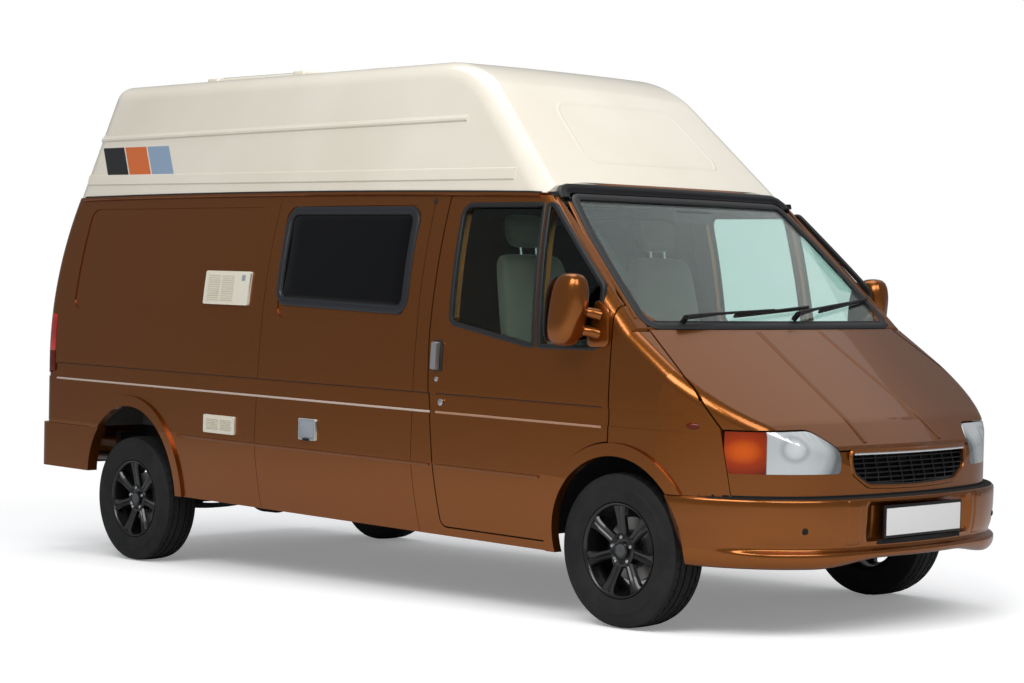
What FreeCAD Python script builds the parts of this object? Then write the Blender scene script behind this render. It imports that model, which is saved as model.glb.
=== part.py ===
"""Camper van with a moulded high roof, built as separate sub-parts in one document.

Millimetres. The front is at -Y, the right side at -X and the ground at Z = 0. The body is drawn
level and then turned about the front axle by its rake, because the van stands with its tail up.
Wheels, knuckles and the rear axle stay level.
"""
import FreeCAD, Part

import math
import os
from functools import lru_cache
from types import SimpleNamespace

V = FreeCAD.Vector
RIGHT = -1
LEFT = 1
SIDES = {"right": RIGHT, "left": LEFT}

# Driving dimensions
SIZES = {
    "front_axle_y": -1778, "wheelbase": 3570, "rake_deg": 1.5,
    "tyre_radius": 332, "tyre_width": 200, "rim_radius": 203, "half_track": 852,
    "spoke_count": 7, "disc_radius": 140, "kingpin_x": 700, "steer_room": 435,
    "half_width": 969, "waist_low": 620, "waist_high": 950, "tumble_drop": 134, "tumble_rise": 916,
    "gutter_z": 1868, "gutter_bow": 24, "sill_z": 285, "sill_half": 905,
    "wall": 50, "front_wall": 30, "press_depth": 5, "swage_low": 858, "swage_high": 934,
    "nose_y": -2619, "nose_radius": 2420, "corner_radius": 600, "screen_axis_y": 3980,
    "rear_y": 2630, "rear_top_y": 2532, "rear_corner": 70, "pillar_round": 60,
    "bonnet_rear_y": -1902, "cowl_z": 1270, "fold_y": -2450, "fold_z": 905,
    "bonnet_front_y": -2578, "bonnet_front_z": 800, "screen_top_y": -1205, "screen_top_z": 1920,
    "roof_brow": 600, "roof_top": 2493, "roof_rear_top": 2472, "roof_wall": 25, "roof_round": 105,
    "roof_front_z": 1912, "door_gap": 7, "rear_gap": 10, "seat_clearance": 0.3,
    "rear_hinge_x": 845, "rear_hinge_y": 2650,
    "door_rear_y": -580, "door_front_y": -1725, "door_low": 330, "door_high": 1846,
    "arch_radius": 385, "arch_lift": 18, "arch_trim": 55, "trim_proud": 14,
    "bumper_top": 600, "bumper_low": 310, "bumper_front_y": -2679, "bumper_half": 975, "bumper_wall": 60,
    "rear_bumper_low": 360, "rear_bumper_y": 2679,
    "lamp_outer": 892, "lamp_inner": 460, "lamp_low": 700, "lamp_high": 872, "indicator_x": 764,
    "lamp_depth": 110, "grille_half": 392, "grille_top": 778, "grille_low": 645,
    "grille_rows": 7, "grille_columns": 10,
    "floor_z": 600, "floor_thick": 40, "panel_rise": 6, "slide_front_y": -460, "slide_rear_y": 648,
    "window_rear": 572, "window_front": -380, "window_low": 1314, "window_high": 1782,
    "window_round": 60, "glass": 5, "window_proud": 9,
    "steering_wheel_radius": 200, "seat_width": 500, "seat_x": 450,
}

os.makedirs("parts", exist_ok=True)
doc = FreeCAD.newDocument("CamperVan")
sheet = doc.addObject("Spreadsheet::Sheet", "Sizes")
for row, (name, value) in enumerate(SIZES.items(), start=1):
    sheet.set("A%d" % row, name.replace("_", " "))
    sheet.set("B%d" % row, str(value))
    sheet.setAlias("B%d" % row, name)
doc.recompute()
d = SimpleNamespace(**{name: float(sheet.get(name)) for name in SIZES})

rear_axle_y = d.front_axle_y + d.wheelbase
arch_z = d.tyre_radius + d.arch_lift
gap = d.door_gap
seat = d.seat_clearance
LEVEL = FreeCAD.Placement()
RAKE = FreeCAD.Placement(
    V(0, 0, 0), FreeCAD.Rotation(V(1, 0, 0), d.rake_deg), V(0, d.front_axle_y, d.tyre_radius)
)
subparts = []


# Outlines and solids
def to_3d(a, b, plane):
    return {"yz": V(0, a, b), "xz": V(a, 0, b), "xy": V(a, b, 0)}[plane]


def outline(points, plane):
    """Closed wire. A point with a third value is rounded with that radius."""
    corners = []
    count = len(points)
    for i, point in enumerate(points):
        here = V(point[0], point[1], 0)
        if len(point) < 3:
            corners.append((here, None, here))
            continue
        back = (V(points[i - 1][0], points[i - 1][1], 0) - here).normalize()
        ahead = (V(points[(i + 1) % count][0], points[(i + 1) % count][1], 0) - here).normalize()
        half = back.getAngle(ahead) / 2
        reach = point[2] / math.tan(half)
        middle = here + (back + ahead).normalize() * (point[2] / math.sin(half) - point[2])
        corners.append((here + back * reach, middle, here + ahead * reach))
    edges = []
    for i, (start, middle, end) in enumerate(corners):
        if middle is not None:
            edges.append(Part.Arc(*[to_3d(p.x, p.y, plane) for p in (start, middle, end)]).toShape())
        after = corners[(i + 1) % count][0]
        if (after - end).Length > 1e-6:
            edges.append(Part.makeLine(to_3d(end.x, end.y, plane), to_3d(after.x, after.y, plane)))
    return Part.Wire(edges)


def grown(wire, by):
    return wire if by == 0 else wire.makeOffset2D(by)


def prism(wire, low, high):
    """Solid between two positions along the normal of the wire's own plane."""
    box = wire.BoundBox
    axis = V(1, 0, 0) if box.XLength < 1e-6 else V(0, 1, 0) if box.YLength < 1e-6 else V(0, 0, 1)
    solid = Part.Face(wire).extrude(axis * (high - low))
    solid.translate(axis * low)
    return solid


def side_prism(points, side, by=0, low=500, high=1200):
    """Prism over a side-view outline on one side of the van."""
    wire = grown(outline(points, "yz"), by)
    return prism(wire, low, high) if side == LEFT else prism(wire, -high, -low)


def front_prism(points, low, high, by=0):
    return prism(grown(outline(points, "xz"), by), low, high)


def block(x0, x1, y0, y1, z0, z1):
    return Part.makeBox(x1 - x0, y1 - y0, z1 - z0, V(x0, y0, z0))


def rod(start, end, radius):
    axis = end - start
    return Part.makeCylinder(radius, axis.Length, start, axis)


def pipe(points, radius):
    """A bent pipe along straight runs."""
    end = Part.Wire(Part.makeCircle(radius, points[0], points[1] - points[0]))
    return Part.makePolygon(points).makePipeShell([end], True, False, 2)


def fuse(shapes):
    shapes = list(shapes)
    return shapes[0].multiFuse(shapes[1:]).removeSplitter()


def compound(shapes):
    return Part.makeCompound([solid for shape in shapes for solid in shape.Solids])


def mirrored(shape):
    return shape.mirror(V(0, 0, 0), V(1, 0, 0))


def on_side(shape, side):
    """A shape drawn for the left side, put on the wanted side."""
    return shape if side == LEFT else mirrored(shape)


def mirror_points(points):
    return [(-p[0],) + tuple(p[1:]) for p in reversed(points)]


def cut_all(shape, tools):
    for tool in tools:
        shape = shape.cut(tool)
    return shape


def rounded(solid, radius, wanted):
    """Fillet the sharp edges whose middle passes the test."""
    edges = []
    for edge in solid.Edges:
        middle = edge.valueAt((edge.FirstParameter + edge.LastParameter) / 2)
        if not wanted(middle):
            continue
        faces = [f for f in solid.Faces if any(edge.isSame(e) for e in f.Edges)]
        normals = [f.normalAt(*f.Surface.parameter(middle)) for f in faces[:2]]
        if len(faces) > 1 and math.degrees(normals[0].getAngle(normals[1])) > 12:
            edges.append(edge)
    return solid.makeFillet(radius, edges)


# Outer form of the steel body
def half_width_at(z):
    """Half width of the side at a height: upright at the waist, an arc leaning in above it."""
    if z <= d.waist_high:
        return d.half_width
    radius = (d.tumble_drop ** 2 + d.tumble_rise ** 2) / (2 * d.tumble_drop)
    return d.half_width - (radius - math.sqrt(radius ** 2 - (z - d.waist_high) ** 2))


def section_wire():
    """Cross-section of the body: turned under at the sill, upright waist, tumblehome."""
    low = d.sill_z - 135
    top = d.gutter_z + 132
    under = d.half_width - d.sill_half
    foot = V(d.sill_half - 12, 0, low)
    bulge = V(d.half_width - under * 0.28, 0, (low + d.waist_low) / 2 + 45)
    middle_z = (d.waist_high + top) / 2
    right = [
        Part.Arc(foot, bulge, V(d.half_width, 0, d.waist_low)).toShape(),
        Part.makeLine(V(d.half_width, 0, d.waist_low), V(d.half_width, 0, d.waist_high)),
        Part.Arc(
            V(d.half_width, 0, d.waist_high), V(half_width_at(middle_z), 0, middle_z),
            V(half_width_at(top), 0, top),
        ).toShape(),
    ]
    left = [mirrored(edge) for edge in reversed(right)]
    across_top = Part.makeLine(V(half_width_at(top), 0, top), V(-half_width_at(top), 0, top))
    across_low = Part.makeLine(V(-foot.x, 0, low), foot)
    return Part.Wire(right + [across_top] + left + [across_low])


def nose_plan(half, nose_y, corner_radius, back_y):
    """Plan of a nose: a large arc with a tangent corner on each side."""
    centre_x = half - corner_radius
    nose_centre = nose_y + d.nose_radius
    inner = d.nose_radius - corner_radius
    centre_y = nose_centre - math.sqrt(inner ** 2 - centre_x ** 2)
    grow = d.nose_radius / inner
    touch = V(centre_x * grow, nose_centre + (centre_y - nose_centre) * grow, 0)
    angle = math.atan2(touch.y - centre_y, touch.x - centre_x) / 2
    middle = V(centre_x + corner_radius * math.cos(angle), centre_y + corner_radius * math.sin(angle), 0)
    side = V(half, centre_y, 0)
    back = V(half, back_y, 0)
    flip = [V(-p.x, p.y, 0) for p in (touch, middle, side, back)]
    return Part.Wire([
        Part.Arc(flip[0], V(0, nose_y, 0), touch).toShape(),
        Part.Arc(touch, middle, side).toShape(),
        Part.makeLine(side, back),
        Part.makeLine(back, flip[3]),
        Part.makeLine(flip[3], flip[2]),
        Part.Arc(flip[2], flip[1], flip[0]).toShape(),
    ])


def front_profile():
    """Side view of nose, bonnet, windscreen and roof front."""
    slope = (d.screen_top_z - d.cowl_z) / (d.screen_top_y - d.bonnet_rear_y)
    brow_y = d.screen_top_y + (d.roof_top - d.screen_top_z) / slope
    back = d.rear_y + 370
    return outline([
        (d.nose_y + 9, 60), (d.nose_y - 21, d.bumper_top, 120), (d.bonnet_front_y, d.bonnet_front_z, 60),
        (d.fold_y, d.fold_z, 250), (d.bonnet_rear_y, d.cowl_z, 120), (brow_y, d.roof_top, d.roof_brow),
        (back, d.roof_rear_top), (back, 60),
    ], "yz")


@lru_cache(maxsize=None)
def screen_form(inset):
    """Solid turned from the front profile about an upright axis far behind the nose."""
    face = Part.Face(grown(front_profile(), -inset))
    return face.revolve(V(0, d.screen_axis_y, 0), V(0, 0, 1), 360)


def rear_profile():
    half = (d.gutter_z - d.waist_high) / 2
    lean = d.rear_y - d.rear_top_y
    radius = 0.99 * half / math.tan(math.atan2(lean, half) / 2)
    bend_z = d.waist_high + half
    return outline([
        (d.nose_y - 680, 60), (d.rear_y, 60), (d.rear_y, bend_z, radius),
        (d.rear_y - lean / half * (2050 - bend_z), 2050), (d.nose_y - 680, 2050),
    ], "yz")


@lru_cache(maxsize=None)
def body_form(inset):
    """Solid form of the body, set in from the outer skin by the given thickness."""
    form = prism(grown(section_wire(), -inset), -3400, 3400)
    plan = nose_plan(d.half_width + 0.5, d.nose_y, d.corner_radius, d.rear_y + 170)
    form = form.common(Part.Face(grown(plan, -inset)).extrude(V(0, 0, 2200)))
    form = form.common(prism(grown(rear_profile(), -inset), -1100, 1100))
    form = form.common(screen_form(inset)).Solids[0]
    if inset < 0:
        return form
    corner = max(d.rear_corner - inset, 12)
    return rounded(form, corner, lambda p: p.y > d.rear_y - 330 and abs(p.x) > 700 and 160 < p.z < 1990)


def above_gutter(lift=0):
    """Everything above the slightly bowed gutter line."""
    end_z = d.gutter_z - d.gutter_bow * 3 + lift
    bow = Part.Arc(V(0, -3400, end_z), V(0, 550, d.gutter_z + 4 + lift), V(0, 4500, end_z)).toShape()
    box = [V(0, 4500, end_z), V(0, 4500, 3000), V(0, -3400, 3000), V(0, -3400, end_z)]
    lines = [Part.makeLine(a, b) for a, b in zip(box[:-1], box[1:])]
    return prism(Part.Wire([bow] + lines), -1300, 1300)


ROOF_ZONE = above_gutter()
BELOW_SILL = block(-1200, 1200, -3000, 3000, 0, d.sill_z)
SKIN = rounded(
    body_form(0), d.pillar_round,
    lambda p: p.y < d.screen_top_y + 200 and 700 < p.z < 1990 and abs(p.x) > 300,
).cut(BELOW_SILL)
UNDER_WALL = body_form(d.wall)
WALLS = SKIN.cut(UNDER_WALL)
FRONT_WALLS = SKIN.cut(body_form(d.front_wall))
PRESSED = SKIN.cut(body_form(d.press_depth))
INSIDE = body_form(d.wall + seat)


def arch_discs(axle_y, radius, low=300, high=1200):
    """Cylinders through both sides at a wheel arch."""
    return [rod(V(s * low, axle_y, arch_z), V(s * high, axle_y, arch_z), radius) for s in (-1, 1)]


def all_arches(radius):
    return arch_discs(d.front_axle_y, radius) + arch_discs(rear_axle_y, radius)


def piece(label, shape, placement=RAKE):
    """A sub-part whose shape comes from the outlines above."""
    feature = doc.addObject("Part::Feature", label)
    feature.Label = label
    feature.Shape = compound([shape])
    feature.Placement = placement
    subparts.append(feature)
    return feature


# Side-view outlines, in Y and Z
DOOR = [
    (d.door_rear_y - 4, d.door_high, 12), (d.door_rear_y + 1, 1206), (d.door_rear_y - 8, d.waist_high),
    (d.door_rear_y - 45, d.waist_low), (d.door_rear_y - 80, d.door_low, 40), (d.door_front_y, d.door_low),
    (d.door_front_y, 1182), (d.door_front_y + 4, 1440, 20), (d.door_front_y + 455, d.door_high, 60),
]
DOOR_FROM_FRONT = [
    (858, 200), (1300, 200), (1300, 1950), (784, 1950), (791, 1832), (808, 1673), (831, 1561), (854, 1456),
    (878, 1418), (878, 900), (858, 640),
]
WINDOW_BACK = [
    (-686, 1800, 50), (-712, 1268, 40), (-1236, 1184, 60), (-1255, 1184), (-1198, 1800),
]
WINDOW_QUARTER = [(-1236, 1800, 6), (-1293, 1184, 6), (-1650, 1190, 30), (-1640, 1448, 30), (-1262, 1800, 30)]
SIDE_WINDOW = [
    (d.window_rear + 5, d.window_high, d.window_round), (d.window_rear - 5, d.window_low + 14, d.window_round),
    (d.window_front - 5, d.window_low - 8, d.window_round), (d.window_front + 5, d.window_high, d.window_round),
]
REAR_PRESSING = [(2334, 1790, 60), (2370, 1240, 60), (795, 1241, 60), (768, 1799, 60)]
MIDDLE_PRESSING = [(606, 1799, 60), (563, 1244, 60), (-368, 1242, 60), (-408, 1806, 60)]
WING = [
    (d.door_front_y - gap, d.cowl_z - 8), (d.bonnet_rear_y, d.cowl_z - 8), (-2020, 1183), (-2125, 1085),
    (-2199, 1000), (-2253, 925), (-2284, 880), (-2326, d.bumper_top + seat),
    (d.door_front_y - gap, d.bumper_top + seat),
]
SLIDING_DOOR = [
    (d.slide_rear_y - 6, 1822, 30), (d.slide_rear_y, 1206), (d.slide_rear_y + 24, d.waist_low),
    (d.slide_rear_y + 20, d.door_low, 30), (d.slide_front_y - 10, d.door_low, 30), (d.slide_front_y, 1822, 30),
]
SWAGE = [(-3000, d.swage_low), (3000, d.swage_low), (3000, d.swage_high), (-3000, d.swage_high)]
PANEL_SEAMS = [
    [(676, 1840), (682, 1135), (710, 631), (696, 290), (693, 290), (707, 631), (679, 1135), (673, 1840)],
    [
        (-478, 1840), (-484, 1206), (-470, 630), (-500, 290),
        (-503, 290), (-473, 630), (-487, 1206), (-481, 1840),
    ],
]


# Steel body
def door_zone(side, by=0):
    """Room of a cab door; its front frame wraps round the windscreen pillar."""
    points = DOOR_FROM_FRONT if side == LEFT else mirror_points(DOOR_FROM_FRONT)
    return side_prism(DOOR, side, by).common(front_prism(points, -2000, 0, by))


def cab_door(side):
    """Door with a rear light, a quarter light and the bar between them."""
    shape = WALLS.common(door_zone(side))
    shape = cut_all(shape, arch_discs(d.front_axle_y, d.arch_radius + d.arch_trim + gap))
    shape = cut_all(shape, [side_prism(WINDOW_BACK, side), side_prism(WINDOW_QUARTER, side)])
    return shape.cut(PRESSED.common(side_prism(SWAGE, side)))


def side_wall(side):
    """Outer side from the cab door to the rear corner, with its pressings."""
    zone = [
        (d.screen_top_y + 10, d.door_high + gap), (d.screen_top_y + 10, 1900), (d.rear_y + 20, 1900),
        (d.rear_y + 20, d.sill_z), (d.front_axle_y, d.sill_z), (d.front_axle_y, d.door_low),
        (d.door_rear_y - 300, d.door_low), (d.door_rear_y - 300, d.door_high + gap),
    ]
    shape = WALLS.cut(ROOF_ZONE).common(side_prism(zone, side))
    shape = cut_all(shape, [door_zone(side, gap)] + all_arches(d.arch_radius + d.arch_trim + seat))
    shape = shape.cut(block(-1200, 1200, rear_axle_y + 300, 3000, 0, d.bumper_top + seat))
    shape = shape.cut(front_prism(REAR_OPENING, 1800, 3000))
    pressings = [SWAGE, REAR_PRESSING] + PANEL_SEAMS
    if side == RIGHT:
        pressings.append(MIDDLE_PRESSING)
        shape = shape.cut(side_prism(SIDE_WINDOW, side))
    else:
        shape = shape.cut(side_prism(SLIDING_DOOR, side, gap))
    buffer = on_side(block(868, 895, -920, -880, d.door_low - gap - 3, d.door_low - seat), side)
    shape = cut_all(shape, [PRESSED.common(side_prism(p, side)) for p in pressings])
    return shape.fuse([WALLS.common(buffer)] + [h for h in rear_hinges(side)[0]])


REAR_OPENING = [(-800, d.floor_z - 45), (800, d.floor_z - 45), (780, 1900), (-780, 1900)]
REAR_DOOR = [
    (d.rear_gap / 2, d.floor_z + 5, 8), (800 - gap, d.floor_z + 5, 40),
    (782 - gap, 1800, 60), (d.rear_gap / 2, 1800, 8),
]
REAR_WINDOW = [(120, 1270, 50), (700, 1270, 50), (680, 1720, 50), (120, 1720, 50)]


def rear_hinges(side):
    """Fixed and moving halves of the outside hinges of a rear door."""
    fixed = []
    moving = []
    x = d.rear_hinge_x
    y = d.rear_hinge_y
    for z in (700, 1330):
        lean = max(0, z + 80 - d.waist_high) ** 2 / 8600
        skin_y = d.rear_y - lean
        fixed.append(rod(V(x, y, z), V(x, y, z + 40), 9))
        fixed.append(block(x, x + 28, skin_y - 12, y + 6, z, z + 40))
        moving.append(rod(V(x, y, z + 40 + seat), V(x, y, z + 80), 9))
        moving.append(block(x - 105, x, y - 4, y + 6, z + 40 + seat, z + 80))
        moving.append(block(x - 105, x - 62, skin_y - 12, y, z + 40 + seat, z + 80))
    return [on_side(s, side) for s in fixed], [on_side(s, side) for s in moving]


def rear_door(side):
    points = REAR_DOOR if side == LEFT else mirror_points(REAR_DOOR)
    window = REAR_WINDOW if side == LEFT else mirror_points(REAR_WINDOW)
    shape = WALLS.common(front_prism(points, 2300, 2800))
    swing = Part.makeCylinder(d.rear_hinge_x, 3000, V(side * d.rear_hinge_x, d.rear_hinge_y, 0))
    shape = shape.common(swing).cut(front_prism(window, 2300, 2800))
    return shape.fuse(rear_hinges(side)[1])


def rear_window(side):
    window = REAR_WINDOW if side == LEFT else mirror_points(REAR_WINDOW)
    return PANES.common(front_prism(window, 2300, 2800, -seat))


def rear_frame():
    """Header over the rear doors and the cross-member under them."""
    shell = WALLS.cut(ROOF_ZONE)
    header = shell.common(block(-790, 790, 2300, 2800, 1800 + gap, 1900))
    header = header.common(front_prism(REAR_OPENING, 1800, 3000, -seat))
    back = d.rear_bumper_y - d.bumper_wall - seat
    step = block(-790, 790, 2300, back, 540, d.floor_z - 2)
    buffers = [block(x - 20, x + 20, 2590, back, d.floor_z - 5, d.floor_z + 5 - seat) for x in (-400, 400)]
    return compound([header, shell.common(step).fuse(buffers)])


def windscreen_frame():
    """Pillars and header round the windscreen, down to the wings and bonnet."""
    zone = [
        (d.door_front_y - gap, d.cowl_z - 8 + seat), (d.door_front_y - gap, 1182),
        (d.door_front_y - gap + 4, 1440),
        (d.screen_top_y + 10, 1900), (d.screen_top_y + 10, d.roof_front_z), (-1500, 2000), (-2100, 1500),
        (-2100, d.cowl_z - 8 + seat),
    ]
    shape = WALLS.common(side_prism(zone, LEFT, 0, -1200, 1200))
    shape = cut_all(shape, [door_zone(s, gap) for s in (RIGHT, LEFT)])
    bonnet_line = Part.makeCylinder(d.screen_axis_y - d.bonnet_rear_y - 8, 3000, V(0, d.screen_axis_y, 0))
    shape = shape.cut(block(-1200, 1200, -3000, 0, d.roof_front_z - seat, 3000))
    return shape.common(bonnet_line).cut(front_prism(SCREEN, -2300, -900))


SCREEN = [(-692, 1842, 60), (-835, 1306, 70), (835, 1306, 70), (692, 1842, 60)]


def windscreen():
    return screen_form(4).cut(screen_form(4 + d.glass)).common(front_prism(SCREEN, -2300, -900, -seat))


def windscreen_trim():
    """Black visor over the windscreen and the cowl panel below it."""
    proud = screen_form(-16).cut(screen_form(-seat))
    edge = [(-735, 1846, 20), (735, 1846, 20), (700, 1904, 30), (-700, 1904, 30)]
    visor = proud.common(front_prism(edge, -1700, -900))
    thin = screen_form(-3).cut(screen_form(-seat))
    cowl = thin.common(front_prism([(-845, 1286), (845, 1286), (836, 1308), (-836, 1308)], -2300, -1500))
    return compound([visor, cowl])


def lamp_outline(grow=0):
    return [
        (d.lamp_inner - grow, d.lamp_low - grow, 16), (d.lamp_outer + 40, d.lamp_low - grow),
        (d.lamp_outer + 40, d.lamp_high + grow), (540, d.lamp_high + grow, 80),
        (d.lamp_inner - 8 - grow, 800, 80),
    ]


# Bonnet between the wings, as seen from the front
BONNET_EDGE = [
    (-926, 990), (926, 990), (922, 1085), (885, 1182), (855, d.cowl_z - 8), (830, 1400),
    (-830, 1400), (-855, d.cowl_z - 8), (-885, 1182), (-922, 1085),
]


def wing_zone(side, by=0, inward=0):
    """Room of a wing, grown by a gap and further inwards where the bonnet swings."""
    return side_prism(WING, side, by).cut(front_prism(BONNET_EDGE, -2400, -1600, -by - inward))


def headlamps():
    """A clear lamp and an amber indicator at each front corner."""
    body = SKIN.cut(body_form(d.lamp_depth))
    ahead = block(-1200, 1200, -3000, -2300, 0, 3000)
    wings = [wing_zone(s, 3) for s in (RIGHT, LEFT)]
    solids = []
    for side in (RIGHT, LEFT):
        points = lamp_outline() if side == LEFT else mirror_points(lamp_outline())
        unit = body.common(ahead).common(front_prism(points, -3000, -2000))
        unit = unit.common(on_side(block(0, d.lamp_outer, -3000, -2000, 0, 3000), side))
        split = on_side(block(d.indicator_x, d.indicator_x + 2, -3000, -2000, 0, 3000), side)
        solids.append(cut_all(unit, [split] + wings))
    return compound(solids)


GRILLE = [
    (-d.grille_half, d.grille_top, 12), (-d.grille_half + 6, 700, 60), (-300, d.grille_low + 6, 90),
    (0, d.grille_low - 6, 900), (300, d.grille_low + 6, 90), (d.grille_half - 6, 700, 60),
    (d.grille_half, d.grille_top, 12),
]


def radiator_grille():
    """Frame ring with bars and ribs, curved like the nose."""
    plate = body_form(6).cut(body_form(24))
    zone = front_prism(GRILLE, -3000, -2300)
    ring = zone.cut(front_prism(GRILLE, -3000, -2300, -9))
    pitch_z = (d.grille_top - d.grille_low + 6) / d.grille_rows
    pitch_x = 2 * d.grille_half / d.grille_columns
    bars = []
    for i in range(1, int(d.grille_rows)):
        z = d.grille_low - 6 + i * pitch_z
        bars.append(block(-d.grille_half, d.grille_half, -3000, -2300, z - 2.5, z + 2.5))
    for i in range(1, int(d.grille_columns)):
        x = -d.grille_half + i * pitch_x
        bars.append(block(x - 2.5, x + 2.5, -3000, -2300, d.grille_low - 20, d.grille_top))
    grid = ring.multiFuse([b.common(zone) for b in bars])
    return plate.common(grid)


def front_panel():
    top = d.bonnet_front_z - 12
    shape = FRONT_WALLS.common(block(-1200, 1200, -3000, -2000, d.bumper_top + seat, top))
    buffers = [block(x - 20, x + 20, -2610, -2560, top - 5, top + gap - seat) for x in (-300, 300)]
    shape = shape.fuse([FRONT_WALLS.common(b) for b in buffers])
    lamp = lamp_outline(seat)
    tools = [front_prism(lamp, -3000, -2000), front_prism(mirror_points(lamp), -3000, -2000)]
    tools.append(front_prism(GRILLE, -3000, -2300, seat))
    tools += [wing_zone(s, 3) for s in (RIGHT, LEFT)]
    tools.append(block(-1200, 1200, -2300, -1500, 0, 3000))
    return cut_all(shape, tools)


def wing(side):
    shape = FRONT_WALLS.common(wing_zone(side))
    shape = shape.cut(PRESSED.common(side_prism(SWAGE, side)).cut(block(-1200, 1200, -3000, -2140, 0, 3000)))
    return cut_all(shape, arch_discs(d.front_axle_y, d.arch_radius + d.arch_trim + seat))


def bonnet():
    shape = FRONT_WALLS.common(block(-1200, 1200, -3000, -1700, d.bonnet_front_z - 5, 1500))
    left_lamp = lamp_outline(gap)
    tools = [front_prism(points, -3000, -2000) for points in (left_lamp, mirror_points(left_lamp))]
    tools += [wing_zone(s, gap, 3) for s in (RIGHT, LEFT)]
    above_wing = block(852 - gap, 1200, -2000, -1600, d.cowl_z - 9, 1500)
    tools += [on_side(above_wing, s) for s in (RIGHT, LEFT)]
    tools.append(Part.makeCylinder(d.screen_axis_y - d.bonnet_rear_y, 3000, V(0, d.screen_axis_y, 0)))
    beside_lamp = block(d.lamp_outer - 30, 1200, -3000, -2270, 0, d.lamp_high + gap)
    tools += [on_side(beside_lamp, s) for s in (RIGHT, LEFT)]
    return cut_all(shape, tools)


def arch_trims():
    """Flared lips round the four wheel arches."""
    flare = body_form(-d.trim_proud).cut(body_form(d.front_wall))
    rings = []
    for outer, inner in zip(all_arches(d.arch_radius + d.arch_trim), all_arches(d.arch_radius)):
        rings.append(outer.cut(inner))
    low = block(-1200, 1200, -3000, 3000, 0, d.sill_z)
    bumpers = [
        block(-1200, 1200, -3000, d.front_axle_y - 150, 0, d.bumper_top + seat),
        block(-1200, 1200, rear_axle_y + 150, 3000, 0, d.bumper_top + seat),
    ]
    return compound([cut_all(flare.common(ring), [low] + bumpers) for ring in rings])


# Bumpers
def front_bumper():
    """Wrap-round bumper: a lower lip, a groove above it and a recess for the number plate."""
    plan = nose_plan(d.bumper_half, d.bumper_front_y, d.corner_radius + 15, -1500)

    def layer(inset, low, high):
        edge = plan.makeOffset2D(-inset) if inset else plan
        return Part.Face(edge).extrude(V(0, 0, high - low)).translated(V(0, 0, low))

    lip_top = d.bumper_low + 66
    lip = layer(2, d.bumper_low, lip_top)
    core = layer(14, d.bumper_low, d.bumper_top)
    face = layer(0, lip_top + 6, d.bumper_top)
    shell = fuse([lip, core, face]).cut(layer(d.bumper_wall, d.bumper_low - 10, d.bumper_top + 10))
    shell = cut_all(shell, arch_discs(d.front_axle_y, d.arch_radius))
    shell = shell.cut(block(-1200, 1200, d.front_axle_y - 150, 0, 0, 1000))
    return shell.cut(block(-325, 325, -2720, -2640, d.bumper_top - 175, d.bumper_top - 22))


def rear_bumper():
    """Wrap-round rear bumper from arch to arch."""
    low = d.rear_bumper_low
    outer = block(-d.bumper_half, d.bumper_half, rear_axle_y, d.rear_bumper_y, low, d.bumper_top)

    def upright_corner(p):
        return p.y > d.rear_y and abs(p.x) > 900 and low < p.z < d.bumper_top

    outer = rounded(outer, d.rear_corner + 20, upright_corner)
    inner = block(
        -d.bumper_half + d.bumper_wall, d.bumper_half - d.bumper_wall, rear_axle_y - 10,
        d.rear_bumper_y - d.bumper_wall, low - 10, d.bumper_top + 10,
    )
    return cut_all(outer.cut(inner), arch_discs(rear_axle_y, d.arch_radius))


def tail_lamps():
    """Upright lamps let into the rear corners."""
    shell = SKIN.cut(body_form(25))
    lamps = [shell.common(on_side(block(830, 1100, 2560, 2800, 880, 1215), s)) for s in (RIGHT, LEFT)]
    return compound(lamps)


# High roof
@lru_cache(maxsize=None)
def roof_form(inset):
    """Moulded roof: leaning sides, sloped front and rear, large round edges."""
    foot = half_width_at(d.gutter_z)
    top = d.roof_top + 8
    section = outline([(-foot - 6, 1840), (-684, top), (684, top), (foot + 6, 1840)], "xz")
    form = prism(grown(section, -inset), -3400, 3400)
    rear = outline([(-3300, 1700), (2587, 1700), (2363, 2600), (-3300, 2600)], "yz")
    form = form.common(prism(grown(rear, -inset), -1100, 1100)).common(screen_form(inset)).Solids[0]
    radius = max(d.roof_round - inset, 30)
    return rounded(form, radius, lambda p: p.z > 1850)


def high_roof():
    shell = roof_form(0)
    hollow = roof_form(d.roof_wall)
    hollow = hollow.fuse(hollow.translated(V(0, 0, -d.roof_wall - 60)))
    shell = shell.cut(hollow)
    shell = shell.common(above_gutter(seat))
    front_edge = block(-1200, 1200, -3000, d.screen_top_y + 25, 0, d.roof_front_z)
    return shell.cut(front_edge)


def rooflights():
    """A long rooflight at the rear and a low front hatch."""
    rear = block(-330, 330, 1180, 2010, d.roof_rear_top - 12, d.roof_rear_top + 62)
    front = block(-300, 300, 30, 640, d.roof_rear_top - 5, d.roof_rear_top + 48)
    roof = roof_form(0).translated(V(0, 0, seat))
    lids = []
    for box in (rear, front):
        top_edges = [e for e in box.Edges if e.BoundBox.ZMin > d.roof_rear_top + 30]
        lids.append(box.makeFillet(20, top_edges))
    return compound([lid.cut(roof) for lid in lids])


def service_vents():
    """Fridge vents and a service hatch on the right side."""
    shapes = []
    for rear, front, low, high in ((1170, 801, 1300, 1469), (1121, 862, 643, 735), (343, 214, 659, 763)):
        plate = body_form(-12).cut(body_form(d.press_depth - seat if low > 1000 else -seat))
        edge = [(front, low, 8), (rear, low, 8), (rear, high, 8), (front, high, 8)]
        shapes.append(plate.common(side_prism(edge, RIGHT)))
    return compound(shapes)


# Glass of the doors and the camper windows
PANES = body_form(14).cut(body_form(14 + d.glass))


def door_glass(side):
    lights = [side_prism(WINDOW_BACK, side, -seat), side_prism(WINDOW_QUARTER, side, -seat)]
    return compound([PANES.common(light) for light in lights])


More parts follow.
